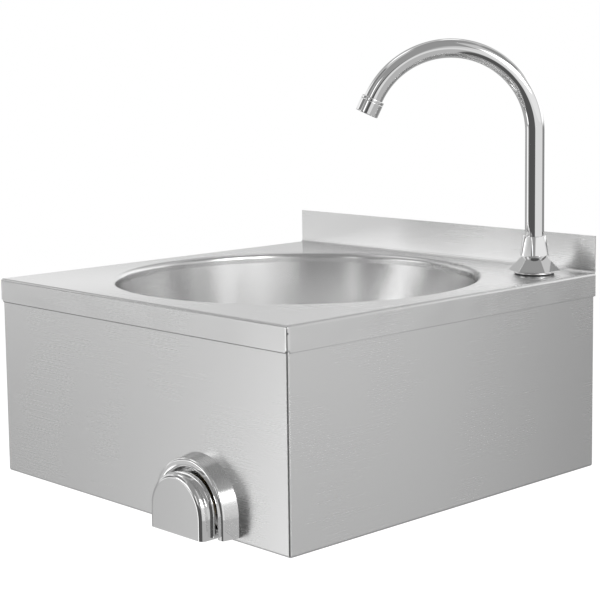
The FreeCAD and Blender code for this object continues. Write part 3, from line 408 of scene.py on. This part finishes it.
def bowl_steel(name, level, roughness):
    """Brushed stainless of the spun bowl: lines round its axis, and broad spinning marks."""
    finish = Finish(bpy.data.materials.new(name))
    x, y, z = finish.split(finish.point())
    out_x, out_y = x - bowl_middle.x, y - bowl_middle.y
    radius = (out_x * out_x + out_y * out_y) ** 0.5
    angle = finish.maths("ARCTAN2", out_y, out_x)
    fine, broad = [finish.join(angle * run, radius * grain, z * grain)
                   for run, grain in (bowl_fine, bowl_broad)]
    base, rough, height = brushed(finish, fine, broad, level, roughness)
    across, up = bowl_streaks
    streaks = finish.noise(finish.join(out_x * across, out_y * across, z * up), 1.0, detail=3.0)
    rough = rough + (streaks - 0.5) * streak_rough
    normal = finish.bump(height, distance=0.012 * MM, strength=0.06)
    return finish.surface(Base_Color=base, Metallic=1.0, Roughness=rough, Anisotropic=0.6,
                          Anisotropic_Rotation=across_lines, Normal=normal)


def plated(name, level, roughness):
    """Bright plating or polished metal with faint smears."""
    finish = Finish(bpy.data.materials.new(name))
    point = finish.point()
    smear = finish.noise(point, smear_grain, detail=3.0)
    fine = finish.noise(point, polish_grain)
    rough = roughness + (smear - 0.5) * smear_rough + (fine - 0.5) * polish_rough
    base = finish.tint(smear, colour(level * smear_shade), colour(level))
    return finish.surface(Base_Color=base, Metallic=1.0, Roughness=rough,
                          Normal=finish.bump(smear, distance=0.01 * MM, strength=0.2))


def machined(name, tone, roughness):
    """Turned metal with faint tool marks and dull patches."""
    finish = Finish(bpy.data.materials.new(name))
    point = finish.point()
    marks = finish.noise(point, tool_grain)
    patch = finish.noise(point, patch_grain, detail=3.0, roughness=0.6)
    dull = tuple(channel * dull_shade for channel in tone)
    base = finish.tint(finish.step(patch, *dull_change), (*tone, 1), (*dull, 1))
    rough = roughness + (patch - 0.5) * patch_rough + (marks - 0.5) * tool_rough
    return finish.surface(Base_Color=base, Metallic=1.0, Roughness=rough,
                          Normal=finish.bump(marks, distance=0.03 * MM, strength=0.4))


def moulded(name, tone, roughness, grain, depth):
    """Rubber, fibre or plastic with a moulded grain and faint paler patches."""
    finish = Finish(bpy.data.materials.new(name))
    point = finish.point()
    fine = finish.noise(point, grain, detail=3.0, roughness=0.6)
    patch = finish.noise(point, grain / mould_patches)
    times, added = mould_paler
    pale = tuple(min(1.0, channel * times + added) for channel in tone)
    base = finish.tint(finish.step(patch, *mould_change), (*tone, 1), (*pale, 1))
    rough = roughness + (fine - 0.5) * mould_rough
    normal = finish.bump(fine, distance=depth, strength=0.5)
    return finish.surface(Base_Color=base, Roughness=rough, Normal=normal)


# shade or colour, then roughness; moulded ones also have grains to a metre and their depth
finishes = {
    "satin_steel": sheet_steel("satin_steel", 0.80, 0.27),
    "deck_steel": sheet_steel("deck_steel", 0.80, 0.27, worked=True),
    "bowl_steel": bowl_steel("bowl_steel", 0.82, 0.25),
    "rail_steel": sheet_steel("rail_steel", 0.66, 0.42),
    "chrome": plated("chrome", 0.92, 0.035),
    "pad_chrome": plated("pad_chrome", 0.86, 0.07),
    "polished_steel": plated("polished_steel", 0.80, 0.16),
    "waste_chrome": plated("waste_chrome", 0.84, 0.10),
    "brass": machined("brass", (0.78, 0.60, 0.30), 0.30),
    "nickel": machined("nickel", (0.76, 0.73, 0.68), 0.26),
    "zinc": machined("zinc", (0.60, 0.62, 0.65), 0.40),
    "black_rubber": moulded("black_rubber", (0.022, 0.022, 0.024), 0.62, 900.0, 0.05 * MM),
    "fibre": moulded("fibre", (0.32, 0.09, 0.05), 0.75, 1400.0, 0.08 * MM),
    "white_plastic": moulded("white_plastic", (0.82, 0.82, 0.80), 0.36, 700.0, 0.02 * MM),
    "filter_mesh": machined("filter_mesh", (0.58, 0.58, 0.59), 0.45),
    "knob_plastic": moulded("knob_plastic", (0.05, 0.05, 0.055), 0.42, 1100.0, 0.04 * MM),
}


# ---------------------------------------------------------------- mesh helpers
def strip(bm, first, second, closed=True):
    """Faces between two rows of as many points."""
    count = len(first)
    for i in range(count if closed else count - 1):
        j = (i + 1) % count
        bm.faces.new((first[i], first[j], second[j], second[i]))


def strips(bm, rows, closed=True):
    for first, second in zip(rows, rows[1:]):
        strip(bm, first, second, closed)


def ring(bm, middle, radius, z, sides):
    """A level round row of points."""
    angles = [2 * math.pi * i / sides for i in range(sides)]
    return [bm.verts.new((middle.x + radius * math.cos(a), middle.y + radius * math.sin(a), z))
            for a in angles]


def arc_points(middle, radius, start, end, steps):
    """Points (a, b) round a middle, from one angle to another, in degrees."""
    angles = [math.radians(start + (end - start) * i / steps) for i in range(steps + 1)]
    return [(middle[0] + radius * math.cos(a), middle[1] + radius * math.sin(a)) for a in angles]


def softened(corners, steps=4):
    """Corners (radius, height, rounding) of a closed section, as points with rounded corners."""
    points = []
    for i, corner in enumerate(corners):
        here = Vector(corner[:2])
        rounding = corner[2] if len(corner) > 2 else 0
        if not rounding:
            points.append((here.x, here.y, 0))
            continue
        back = (Vector(corners[i - 1][:2]) - here).normalized()
        ahead = (Vector(corners[(i + 1) % len(corners)][:2]) - here).normalized()
        half = back.angle(ahead) / 2
        middle = here + (back + ahead).normalized() * (rounding / math.sin(half))
        first = here + back * (rounding / math.tan(half)) - middle
        last = here + ahead * (rounding / math.tan(half)) - middle
        turn = first.angle_signed(last)
        for k in range(steps + 1):
            spoke = first.copy()
            spoke.rotate(Matrix.Rotation(-turn * k / steps, 2))
            points.append((middle.x + spoke.x, middle.y + spoke.y, 0))
    return points


def turned(section, base=Vector(), axis=UP, sides=64, pitch=0.0):
    """A ring turned from points (radius, height, thread depth), with a helical thread."""
    bm = bmesh.new()
    stand = Matrix.Translation(base) @ UP.rotation_difference(axis).to_matrix().to_4x4()
    rows = []
    for point in section:
        radius, height, depth = (*point, 0)[:3]
        row = []
        for i in range(sides if radius > 0 else 1):
            share = i / sides
            cut_in = 0.0
            if depth:
                phase = (height / pitch - share) % 1
                cut_in = depth * min(1, max(0, thread_flank * abs(phase - 0.5) - thread_crest))
            angle = 2 * math.pi * share
            out = radius - cut_in
            row.append(bm.verts.new(stand @ Vector((out * math.cos(angle),
                                                    out * math.sin(angle), height))))
        rows.append(row)
    for first, second in zip(rows, rows[1:] + rows[:1]):
        if len(first) == 1 and len(second) == 1:
            continue
        if len(first) == 1 or len(second) == 1:
            pole, round_row = (first[0], second) if len(first) == 1 else (second[0], first)
            for i in range(sides):
                bm.faces.new((pole, round_row[i], round_row[(i + 1) % sides]))
        else:
            strip(bm, first, second)
    return bm


def threaded(radius, depth, pitch, start, end):
    """Points of a threaded length for turned(), chamfered at both ends."""
    count = math.ceil(abs(end - start) / pitch * thread_steps)
    points = []
    for i in range(count + 1):
        height = start + (end - start) * i / count
        off = max(0.0, thread_end - min(abs(height - start), abs(height - end)))
        points.append((radius - off, height, max(depth - off, 0)))
    return points


def bar(low, high):
    """An upright square-cornered bar between two corners."""
    bm = bmesh.new()
    bmesh.ops.create_cube(bm, size=1)
    for vert in bm.verts:
        vert.co = Vector(b if side > 0 else a for side, a, b in zip(vert.co, low, high))
    return bm


def hexagonal(rows, turn, base, rounding, steps=6):
    """A closed upright hexagonal bar through rows of (flats, height), its corners rounded."""
    bm = bmesh.new()
    made = []
    for flats, height in rows:
        middle = (flats / 2 - rounding) / math.cos(math.pi / 6)
        row = []
        for i in range(6):
            corner = turn + math.pi / 3 * i
            place = base + UP * height
            place += Vector((math.cos(corner), math.sin(corner), 0)) * middle
            for k in range(steps + 1):
                angle = corner + math.pi / 3 * (k / steps - 0.5)
                spoke = Vector((math.cos(angle), math.sin(angle), 0))
                row.append(bm.verts.new(place + spoke * rounding))
        made.append(row)
    strips(bm, made)
    bm.faces.new(made[0])
    bm.faces.new(made[-1])
    return bm


def sweep(points, radius, wall=0.0, sides=48):
    """A wire along points with flat ends, or a pipe with its bore if it has a wall."""
    bm = bmesh.new()
    ways = [(b - a).normalized() for a, b in zip(points, points[1:])]
    ways = [ways[0]] + [(a + b).normalized() for a, b in zip(ways, ways[1:])] + [ways[-1]]
    side = ways[0].orthogonal().normalized()
    outer, inner = [], []
    for point, way in zip(points, ways):
        side = (side - way * side.dot(way)).normalized()
        other = way.cross(side)
        spokes = [side * math.cos(a) + other * math.sin(a)
                  for a in (2 * math.pi * i / sides for i in range(sides))]
        outer.append([bm.verts.new(point + spoke * radius) for spoke in spokes])
        if wall:
            inner.append([bm.verts.new(point + spoke * (radius - wall)) for spoke in spokes])
    strips(bm, outer)
    strips(bm, inner)
    for end in (0, -1):
        if wall:
            strip(bm, outer[end], inner[end])
        else:
            bm.faces.new(outer[end])
    return bm


# ---------------------------------------------------------------- object helpers
def add_object(name, data):
    made = bpy.data.objects.new(name, data)
    bpy.context.scene.collection.objects.link(made)
    return made


def as_object(name, bm):
    """A mesh object, its normals outward."""
    bmesh.ops.recalc_face_normals(bm, faces=bm.faces)
    mesh = bpy.data.meshes.new(name)
    bm.to_mesh(mesh)
    bm.free()
    return add_object(name, mesh)


def combined(bm, tool, operation):
    """The mesh after a boolean operation with another: DIFFERENCE, INTERSECT or UNION."""
    body, knife = as_object("body_blank", bm), as_object("tool_blank", tool)
    change = body.modifiers.new("change", "BOOLEAN")
    change.object, change.operation, change.solver = knife, operation, "EXACT"
    result = bmesh.new()
    result.from_mesh(body.evaluated_get(bpy.context.evaluated_depsgraph_get()).to_mesh())
    for blank in (body, knife):
        mesh = blank.data
        bpy.data.objects.remove(blank)
        bpy.data.meshes.remove(mesh)
    return result


def piece(made, finish, body, node, edge=0.0, shell=0.0, sharp=32):
    """Finishes a piece: its smooth faces, sheet, edges, material and body, and hides its CAD node.
    """
    mesh = made.data
    mesh.polygons.foreach_set("use_smooth", [True] * len(mesh.polygons))
    mesh.set_sharp_from_angle(angle=math.radians(sharp))
    if shell:
        thicken = made.modifiers.new("sheet", "SOLIDIFY")
        thicken.thickness, thicken.offset, thicken.use_even_offset = shell, -1, True
    if edge:
        soften = made.modifiers.new("edges", "BEVEL")
        soften.width, soften.segments, soften.limit_method = edge, 2, "ANGLE"
        soften.angle_limit = math.radians(sharp)
    made.modifiers.new("normals", "WEIGHTED_NORMAL").keep_sharp = True
    mesh.materials.append(finishes[finish])
    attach(made, body)
    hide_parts(node)
    return made


# ---------------------------------------------------------------- basin
def lip_outline(bm, inset, z, notch=0.0):
    """A loop from rear to rear round three sides of the deck, raised at the front corners."""
    corner = max(lip_corner - inset, lip_corner_least)
    beside = corner + lip_notch_side
    x, y = deck_high.x - inset, deck_low.y + inset
    left = arc_points((-x + corner, y + corner), corner, 180, 270, lip_corner_steps)
    right = arc_points((x - corner, y + corner), corner, 270, 360, lip_corner_steps)
    plan = [(-x, 0, 0), (-x, -splash_foot, 0), (-x, y + beside, 0)]
    plan += [(*point, notch) for point in left]
    plan += [(-x + beside, y, 0), (x - beside, y, 0)]
    plan += [(*point, notch) for point in right]
    plan += [(x, y + beside, 0), (x, -splash_foot, 0), (x, 0, 0)]
    return [bm.verts.new((a, b, z + rise)) for a, b, rise in plan]


def add_lips(bm):
    """The bend and the lips under it, and the loop where they leave the deck's top."""
    loops = []
    for i in range(bend_steps + 1):
        angle = math.radians(90 * i / bend_steps)
        inset = bend_outside * (1 - math.sin(angle))
        loops.append(lip_outline(bm, inset, deck_top - bend_outside * (1 - math.cos(angle))))
    loops.append(lip_outline(bm, 0, deck_low.z + lip_edge))
    loops.append(lip_outline(bm, 0, deck_low.z, lip_notch))
    strips(bm, loops, closed=False)
    return loops[0]


def add_rim(bm):
    """The edge rolled down into the bowl, and its loop on the deck's top."""
    profile = [(mouth_radius, deck_top)]
    profile += arc_points((mouth_radius, deck_top - rim_roll), rim_roll, 90, 180,
                          rim_roll_steps)[1:]
    profile.append((mouth_radius - rim_roll, deck_top - rim_depth))
    rows = [ring(bm, bowl_middle, radius, z, rim_sides) for radius, z in profile]
    strips(bm, rows)
    return rows[0]


def add_splashback(bm, top_loop):
    """The splashback, turned up from the rear of the deck's top."""
    half = deck_high.x
    rear_left, rear_right = top_loop[1], top_loop[-2]
    stations = [-half, rear_left.co.x, rear_right.co.x, half]
    foot, *profile = arc_points((-splash_foot, deck_top + splash_turn), splash_turn, -90, 0,
                                bend_steps)
    profile.append((-sheet, deck_high.z))
    rows = [[bm.verts.new((-half, *foot)), rear_left, rear_right, bm.verts.new((half, *foot))]]
    rows += [[bm.verts.new((x, y, z)) for x in stations] for y, z in profile]
    strips(bm, rows, closed=False)


def make_deck():
    bm = bmesh.new()
    top_loop = add_lips(bm)
    rim = add_rim(bm)
    hole = ring(bm, tap_foot, tap_hole, deck_top, tap_hole_sides)
    add_splashback(bm, top_loop)
    edges = [bm.edges.get(pair) or bm.edges.new(pair) for loop in (top_loop[1:-1], rim, hole)
             for pair in zip(loop, loop[1:] + loop[:1])]
    bmesh.ops.triangle_fill(bm, use_beauty=True, edges=edges, normal=UP)
    made = as_object("deck_sheet", bm)
    # an open sheet has no inside, so the largest face of its top says which way is out
    top = max(made.data.polygons, key=lambda face: face.area * abs(face.normal.z))
    if top.normal.z < 0:
        made.data.flip_normals()
    piece(made, "deck_steel", "root", "deck", edge=0.2 * MM, shell=sheet, sharp=40)


# ---------------------------------------------------------------- tap
def make_tap_base():
    """The round foot, the hexagonal cone with its corners turned off, and the spigot."""
    corner = cone_flats / 2 / math.cos(math.pi / 6)
    cone = hexagonal([(cone_flats, foot_top), (cone_flats, cone_low),
                      (2 * waist_radius + waist_cover, waist)], cone_turn, tap_foot,
                     cone_rounding)
    under = foot_top - sunk
    envelope = turned([(0, under), (foot_radius - sunk, under), (corner, cone_low),
                       (corner + cut_past, waist), (0, waist)], tap_foot, sides=tap_sides)
    cone = combined(cone, envelope, "INTERSECT")
    foot = turned(softened([(0, foot_seal), (foot_radius, foot_seal, 0.3 * MM),
                            (foot_radius, foot_top, 0.5 * MM), (waist_radius, foot_top),
                            (waist_radius, waist, 0.3 * MM), (spigot_radius, waist),
                            (spigot_radius, spigot_top, 0.4 * MM), (0, spigot_top)]),
                  tap_foot, sides=tap_sides)
    bore = turned([(0, -cut_past), (tail_bore, -cut_past), (tail_bore, spigot_top + cut_past),
                   (0, spigot_top + cut_past)], tap_foot)
    base = combined(combined(foot, cone, "UNION"), bore, "DIFFERENCE")
    piece(as_object("tap_base", base), "chrome", "root", "tap_base", edge=0.22 * MM,
          sharp=24)


def make_spout_nut():
    """The tapered hexagonal nut, its lower corners turned off, open for spigot and tube."""
    nut = hexagonal([(nut_low_flats, waist), (nut_top_flats, nut_top)], nut_turn, tap_foot,
                    nut_rounding, nut_rounding_steps)
    mouth = nut_top_flats / 2
    roof = nut_top - nut_roof
    envelope = turned([(spigot_radius + running_gap, waist), (waist_radius + running_gap, waist),
                       (nut_belly, waist + nut_belly_height),
                       (mouth + running_gap, nut_top - running_gap), (mouth, nut_top),
                       (tube_radius + running_gap, nut_top), (tube_radius + running_gap, roof),
                       (spigot_radius + running_gap, roof)], tap_foot, sides=tap_sides)
    nut = as_object("spout_nut", combined(nut, envelope, "INTERSECT"))
    piece(nut, "chrome", "root", "spout_nut", edge=0.3 * MM, sharp=20)


def make_spout_tube():
    """The swan neck, from inside the nut into the aerator's shell."""
    points = []
    for i in range(spout_rise_steps):
        height = tube_low + (spout_rise - tube_low) * i / spout_rise_steps
        points.append(tap_foot + UP * height)
    for i in range(spout_bend_steps + 1):
        angle = spout_sweep * i / spout_bend_steps
        points.append(tap_foot + UP * (spout_rise + spout_bend * math.sin(angle))
                      + spout_ahead * (spout_bend * (1 - math.cos(angle))))
    points.append(bend_end + outlet_way * (spout_end - shell_length + shell_grip))
    tube = as_object("spout_tube", sweep(points, tube_radius, tube_wall, tube_sides))
    piece(tube, "chrome", "spout", "spout_tube")


def make_aerator_shell():
    """The sleeve on the tube's end, with a groove round it and an inward lip below."""
    grip = shell_length - shell_grip
    groove = shell_length - groove_drop
    bore = tube_radius + shell_play
    mouth = shell_radius - shell_lip
    section = softened([(mouth, 0, 0.3 * MM), (shell_radius, 0, 0.9 * MM),
                        (shell_radius, groove - groove_half, 0.15 * MM),
                        (shell_radius - groove_depth, groove, 0.2 * MM),
                        (shell_radius, groove + groove_half, 0.15 * MM),
                        (shell_radius, shell_length, 0.8 * MM), (bore, shell_length, 0.2 * MM),
                        (bore, grip), (bore + shell_play, grip),
                        (bore + shell_play, shell_floor), (mouth, shell_floor)])
    shell = as_object("aerator_shell", turned(section, outlet_tip, -outlet_way, tap_sides))
    piece(shell, "chrome", "spout", "aerator_shell")


# ---------------------------------------------------------------- threaded pieces
def make_waste():
    """The waste's body: a flange, a threaded tail, and a bridge for the strainer's screw."""
    low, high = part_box("waste_body")
    base = Vector((bowl_middle.x, bowl_middle.y, high.z))
    length, flange = high.z - low.z, (high.x - low.x) / 2
    radius, pitch, depth = waste_thread
    neck_end = -waste_flange_height - waste_neck
    step = -bridge_drop - bridge_height
    section = softened([(waste_bore, 0), (flange, 0, 0.8 * MM),
                        (flange, -waste_flange_height, 0.4 * MM),
                        (waste_neck_radius, -waste_flange_height),
                        (waste_neck_radius, neck_end, 0.6 * MM)])
    section += threaded(radius, depth, pitch, neck_end, -length)
    section += [(waste_tail_bore, -length), (waste_tail_bore, step), (waste_bore, step)]
    body = turned(section, base, sides=waste_sides, pitch=pitch)
    reach = waste_bore + cut_past
    for wide, deep in ((reach, bridge_rib / 2), (bridge_rib / 2, reach)):
        rib = bar(base + Vector((-wide, -deep, step)), base + Vector((wide, deep, -bridge_drop)))
        body = combined(body, rib, "UNION")
    boss = turned([(0, step), (bridge_boss, step), (bridge_boss, -bridge_drop), (0, -bridge_drop)],
                  base)
    hole = turned([(0, step - cut_past), (bridge_hole, step - cut_past),
                   (bridge_hole, cut_past - bridge_drop), (0, cut_past - bridge_drop)], base)
    body = combined(combined(body, boss, "UNION"), hole, "DIFFERENCE")
    piece(as_object("waste_body", body), "waste_chrome", "root", "waste_body")


def make_shank():
    """The threaded pipe that holds the tap under the deck."""
    low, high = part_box("tap_shank")
    base = Vector((tap_foot.x, tap_foot.y, high.z))
    length = high.z - low.z
    radius, pitch, depth = shank_thread
    section = threaded(radius, depth, pitch, 0, -length)
    section += [(shank_bore, -length), (shank_bore, 0)]
    shank = as_object("tap_shank", turned(section, base, sides=shank_sides, pitch=pitch))
    piece(shank, "brass", "root", "tap_shank")


def make_valve_spring():
    """The coil behind the poppet, built at one length; the real one shortens as the spindle
    slides.
    """
    low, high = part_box("valve_spring")
    middle = (low + high) / 2
    radius = (high.x - low.x - spring_wire) / 2
    length = high.y - low.y
    closed = spring_wire * spring_closed
    opened = (length - spring_wire - 2 * closed) / spring_turns
    points = []
    y = low.y + spring_wire / 2
    for i in range((spring_turns + 2) * spring_steps + 1):
        angle = 2 * math.pi * i / spring_steps
        points.append(Vector((middle.x + radius * math.cos(angle), y,
                              middle.z + radius * math.sin(angle))))
        in_the_open = spring_steps <= i < (spring_turns + 1) * spring_steps
        y += (opened if in_the_open else closed) / spring_steps
    spring = as_object("valve_spring", sweep(points, spring_wire / 2, sides=spring_sides))
    piece(spring, "polished_steel", "root", "valve_spring")
    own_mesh(spring)


def dress_nodes():
    """Gives each CAD node the finish that is named like its own material, and the bowl its own."""
    for node, part in nodes.items():
        made_of = part.data.materials[0].name.split(".")[0]
        part.data.materials.clear()
        part.data.materials.append(finishes["bowl_steel" if node == "bowl" else made_of])


# ---------------------------------------------------------------- stage
floor_drop = 0.30           # under the basin's lower edge
floor_size = 6.0
floor_forward = 0.3         # of its middle, from the basin's rear
floor_shade = 0.8
floor_glow = 0.4            # added where the camera sees it
camera_place = Vector((1.094, -1.235, 0.249))
camera_yaw = 136.45         # degrees
camera_pitch = 6.63
camera_roll = 0.75
camera_focus = 1600 / 600   # picture widths
camera_shift = 0.1          # picture widths
camera_sensor = 36          # millimetres
lamp_place = Vector((-0.9, -1.0, 1.5))
lamp_aim = Vector((0, -0.2, 0))
lamp_size = 1.2
lamp_power = 14             # watts
soft_light = 0.75           # what the studio gives to matt surfaces
studio_floor = 0.40         # brightness outside the panels

# Panels of the studio that the metal mirrors, each over the ones before it: bearings of its
# two edges and their softness, lowest and highest elevation and their softness, brightness.
# Degrees, with bearings from -X towards -Y.
studio_panels = [
    ("sky", -181, 181, 1, 1, 99, 6, 0.58),
    ("ceiling", -181, 181, 1, 66, 99, 10, 0.30),
    ("low behind", -72, 12, 24, 1, 24, 6, 0.88),
    ("high behind", -72, 12, 24, 24, 50, 6, 0.42),
    ("right behind", 232, 294, 16, 1, 30, 6, 1.20),
    ("streak behind", -62, -42, 6, 49, 64, 3, 1.30),
    ("streak left", 0, 24, 5, 46, 62, 3, 1.40),
    ("behind the tap", -30, -4, 6, 17, 27, 3, 0.48),
    ("left light", 12, 27, 4, 16, 31, 3, 1.10),
    ("left corner", 27, 64, 5, 21, 46, 3, 0.22),
    ("front floor", 38, 66, 14, -60, -9, 3, 0.68),
    ("front ground", 43, 66, 6, -40, -9, 1.5, 1.60),
    ("left edge", 20, 37, 5, 3, 20, 3, 0.18),
    ("tall light's foot", 43, 68, 5, -1, 5, 2, 0.90),
    ("tall light", 43, 68, 5, 4, 21, 2, 1.60),
    ("dark front", 54, 134, 4, -60, -1, 3, 0.09),
    ("dark front's top", 70, 134, 4, -1, 9, 3, 0.09),
    ("low light", 23, 42.5, 3, -7.5, -1, 2, 1.06),
    ("high front", 70, 150, 4, 9, 82, 4, 0.31),
    ("strip light", 93, 102, 3, 7, 25, 3, 1.50),
    ("high right", 192, 238, 6, 38, 66, 3, 0.27),
    ("high corner", 236, 258, 5, 47, 64, 3, 0.27),
    ("right side", 134, 230, 5, -14, 2, 1.5, 0.75),
    ("right floor", 134, 231, 6, -60, -14, 1.5, 0.48),
    ("right light", 140, 218, 20, 2, 24, 2, 0.84),
    ("right lamp", 158, 194, 10, 19, 38, 4, 6.00),
    ("right end", 233, 272, 7, -60, 1, 5, 0.24),
]


def make_floor():
    """A pale floor, which keeps the basin's shadow and isn't mirrored."""
    bm = bmesh.new()
    half = floor_size / 2
    low = cad_box[0].z - floor_drop
    corners = [(-half, -half), (half, -half), (half, half), (-half, half)]
    bm.faces.new([bm.verts.new((x, y - floor_forward, low)) for x, y in corners])
    mesh = bpy.data.meshes.new("floor")
    bm.to_mesh(mesh)
    floor = add_object("floor", mesh)
    floor.visible_glossy = False
    finish = Finish(bpy.data.materials.new("pale_floor"))
    seen = finish.node("ShaderNodeLightPath", {}, output="Is Camera Ray")
    matt = finish.node("ShaderNodeBsdfDiffuse", {"Color": colour(floor_shade)})
    glow = finish.node("ShaderNodeEmission", {"Color": colour(1), "Strength": seen * floor_glow})
    both = finish.node("ShaderNodeAddShader", {0: matt, 1: glow})
    finish.node("ShaderNodeOutputMaterial", {0: both})
    mesh.materials.append(finish.owner)


def make_world():
    """The studio round the basin: panels for mirrors, even light, and a white background."""
    world = bpy.data.worlds.new("studio")
    bpy.context.scene.world = world
    world.cycles.sampling_method = "NONE"
    finish = Finish(world)
    x, y, z = finish.split(finish.node("ShaderNodeTexCoord", {}, output="Generated"))
    to_degrees = 180 / math.pi
    bearing = finish.maths("ARCTAN2", y * -1, x * -1) * to_degrees
    elevation = finish.maths("ARCSINE", z) * to_degrees
    level = studio_floor
    for _, left, right, soft, low, high, soft_up, brightness in studio_panels:
        off = abs(finish.maths("WRAP", bearing - (left + right) / 2, 180.0, -180.0))
        half = (right - left) / 2
        inside = finish.step(off, half + soft / 2, half - soft / 2)
        inside = inside * finish.step(elevation, low - soft_up / 2, low + soft_up / 2)
        inside = inside * finish.step(elevation, high + soft_up / 2, high - soft_up / 2)
        level = finish.blend(inside, level, brightness)
    seen, through, glossy = [
        finish.node("ShaderNodeLightPath", {}, output=kind)
        for kind in ("Is Camera Ray", "Is Transmission Ray", "Is Glossy Ray")]
    strength = finish.blend(glossy, soft_light, level)
    strength = finish.blend(finish.maths("MAXIMUM", seen, through), strength, 1.0)
    background = finish.node("ShaderNodeBackground", {"Color": colour(1), "Strength": strength})
    finish.node("ShaderNodeOutputWorld", {0: background})


def make_lamp():
    """A large soft lamp from the left, which casts the basin's shadow."""
    data = bpy.data.lights.new("key", "AREA")
    data.energy, data.size = lamp_power, lamp_size
    lamp = add_object("key", data)
    lamp.location = lamp_place
    lamp.rotation_euler = (lamp_aim - lamp_place).to_track_quat("-Z", "Y").to_euler()
    lamp.visible_glossy = False


def make_camera():
    yaw, pitch, roll = map(math.radians, (camera_yaw, camera_pitch, camera_roll))
    ahead = Vector((math.cos(yaw) * math.cos(pitch), math.sin(yaw) * math.cos(pitch),
                    -math.sin(pitch)))
    right = Vector((math.sin(yaw), -math.cos(yaw), 0))
    down = ahead.cross(right)
    right, down = (right * math.cos(roll) + down * math.sin(roll),
                   down * math.cos(roll) - right * math.sin(roll))
    data = bpy.data.cameras.new("camera")
    data.sensor_width = camera_sensor
    data.lens = camera_focus * camera_sensor
    data.shift_y = -camera_shift
    camera = add_object("camera", data)
    turn = Matrix((right, -down, -ahead)).transposed()
    camera.matrix_world = Matrix.Translation(camera_place) @ turn.to_4x4()
    bpy.context.scene.camera = camera


make_deck()
make_tap_base()
make_spout_nut()
make_spout_tube()
make_aerator_shell()
make_waste()
make_shank()
make_valve_spring()
dress_nodes()
make_floor()
make_world()
make_lamp()
make_camera()
bpy.context.scene.view_settings.view_transform = "Standard"
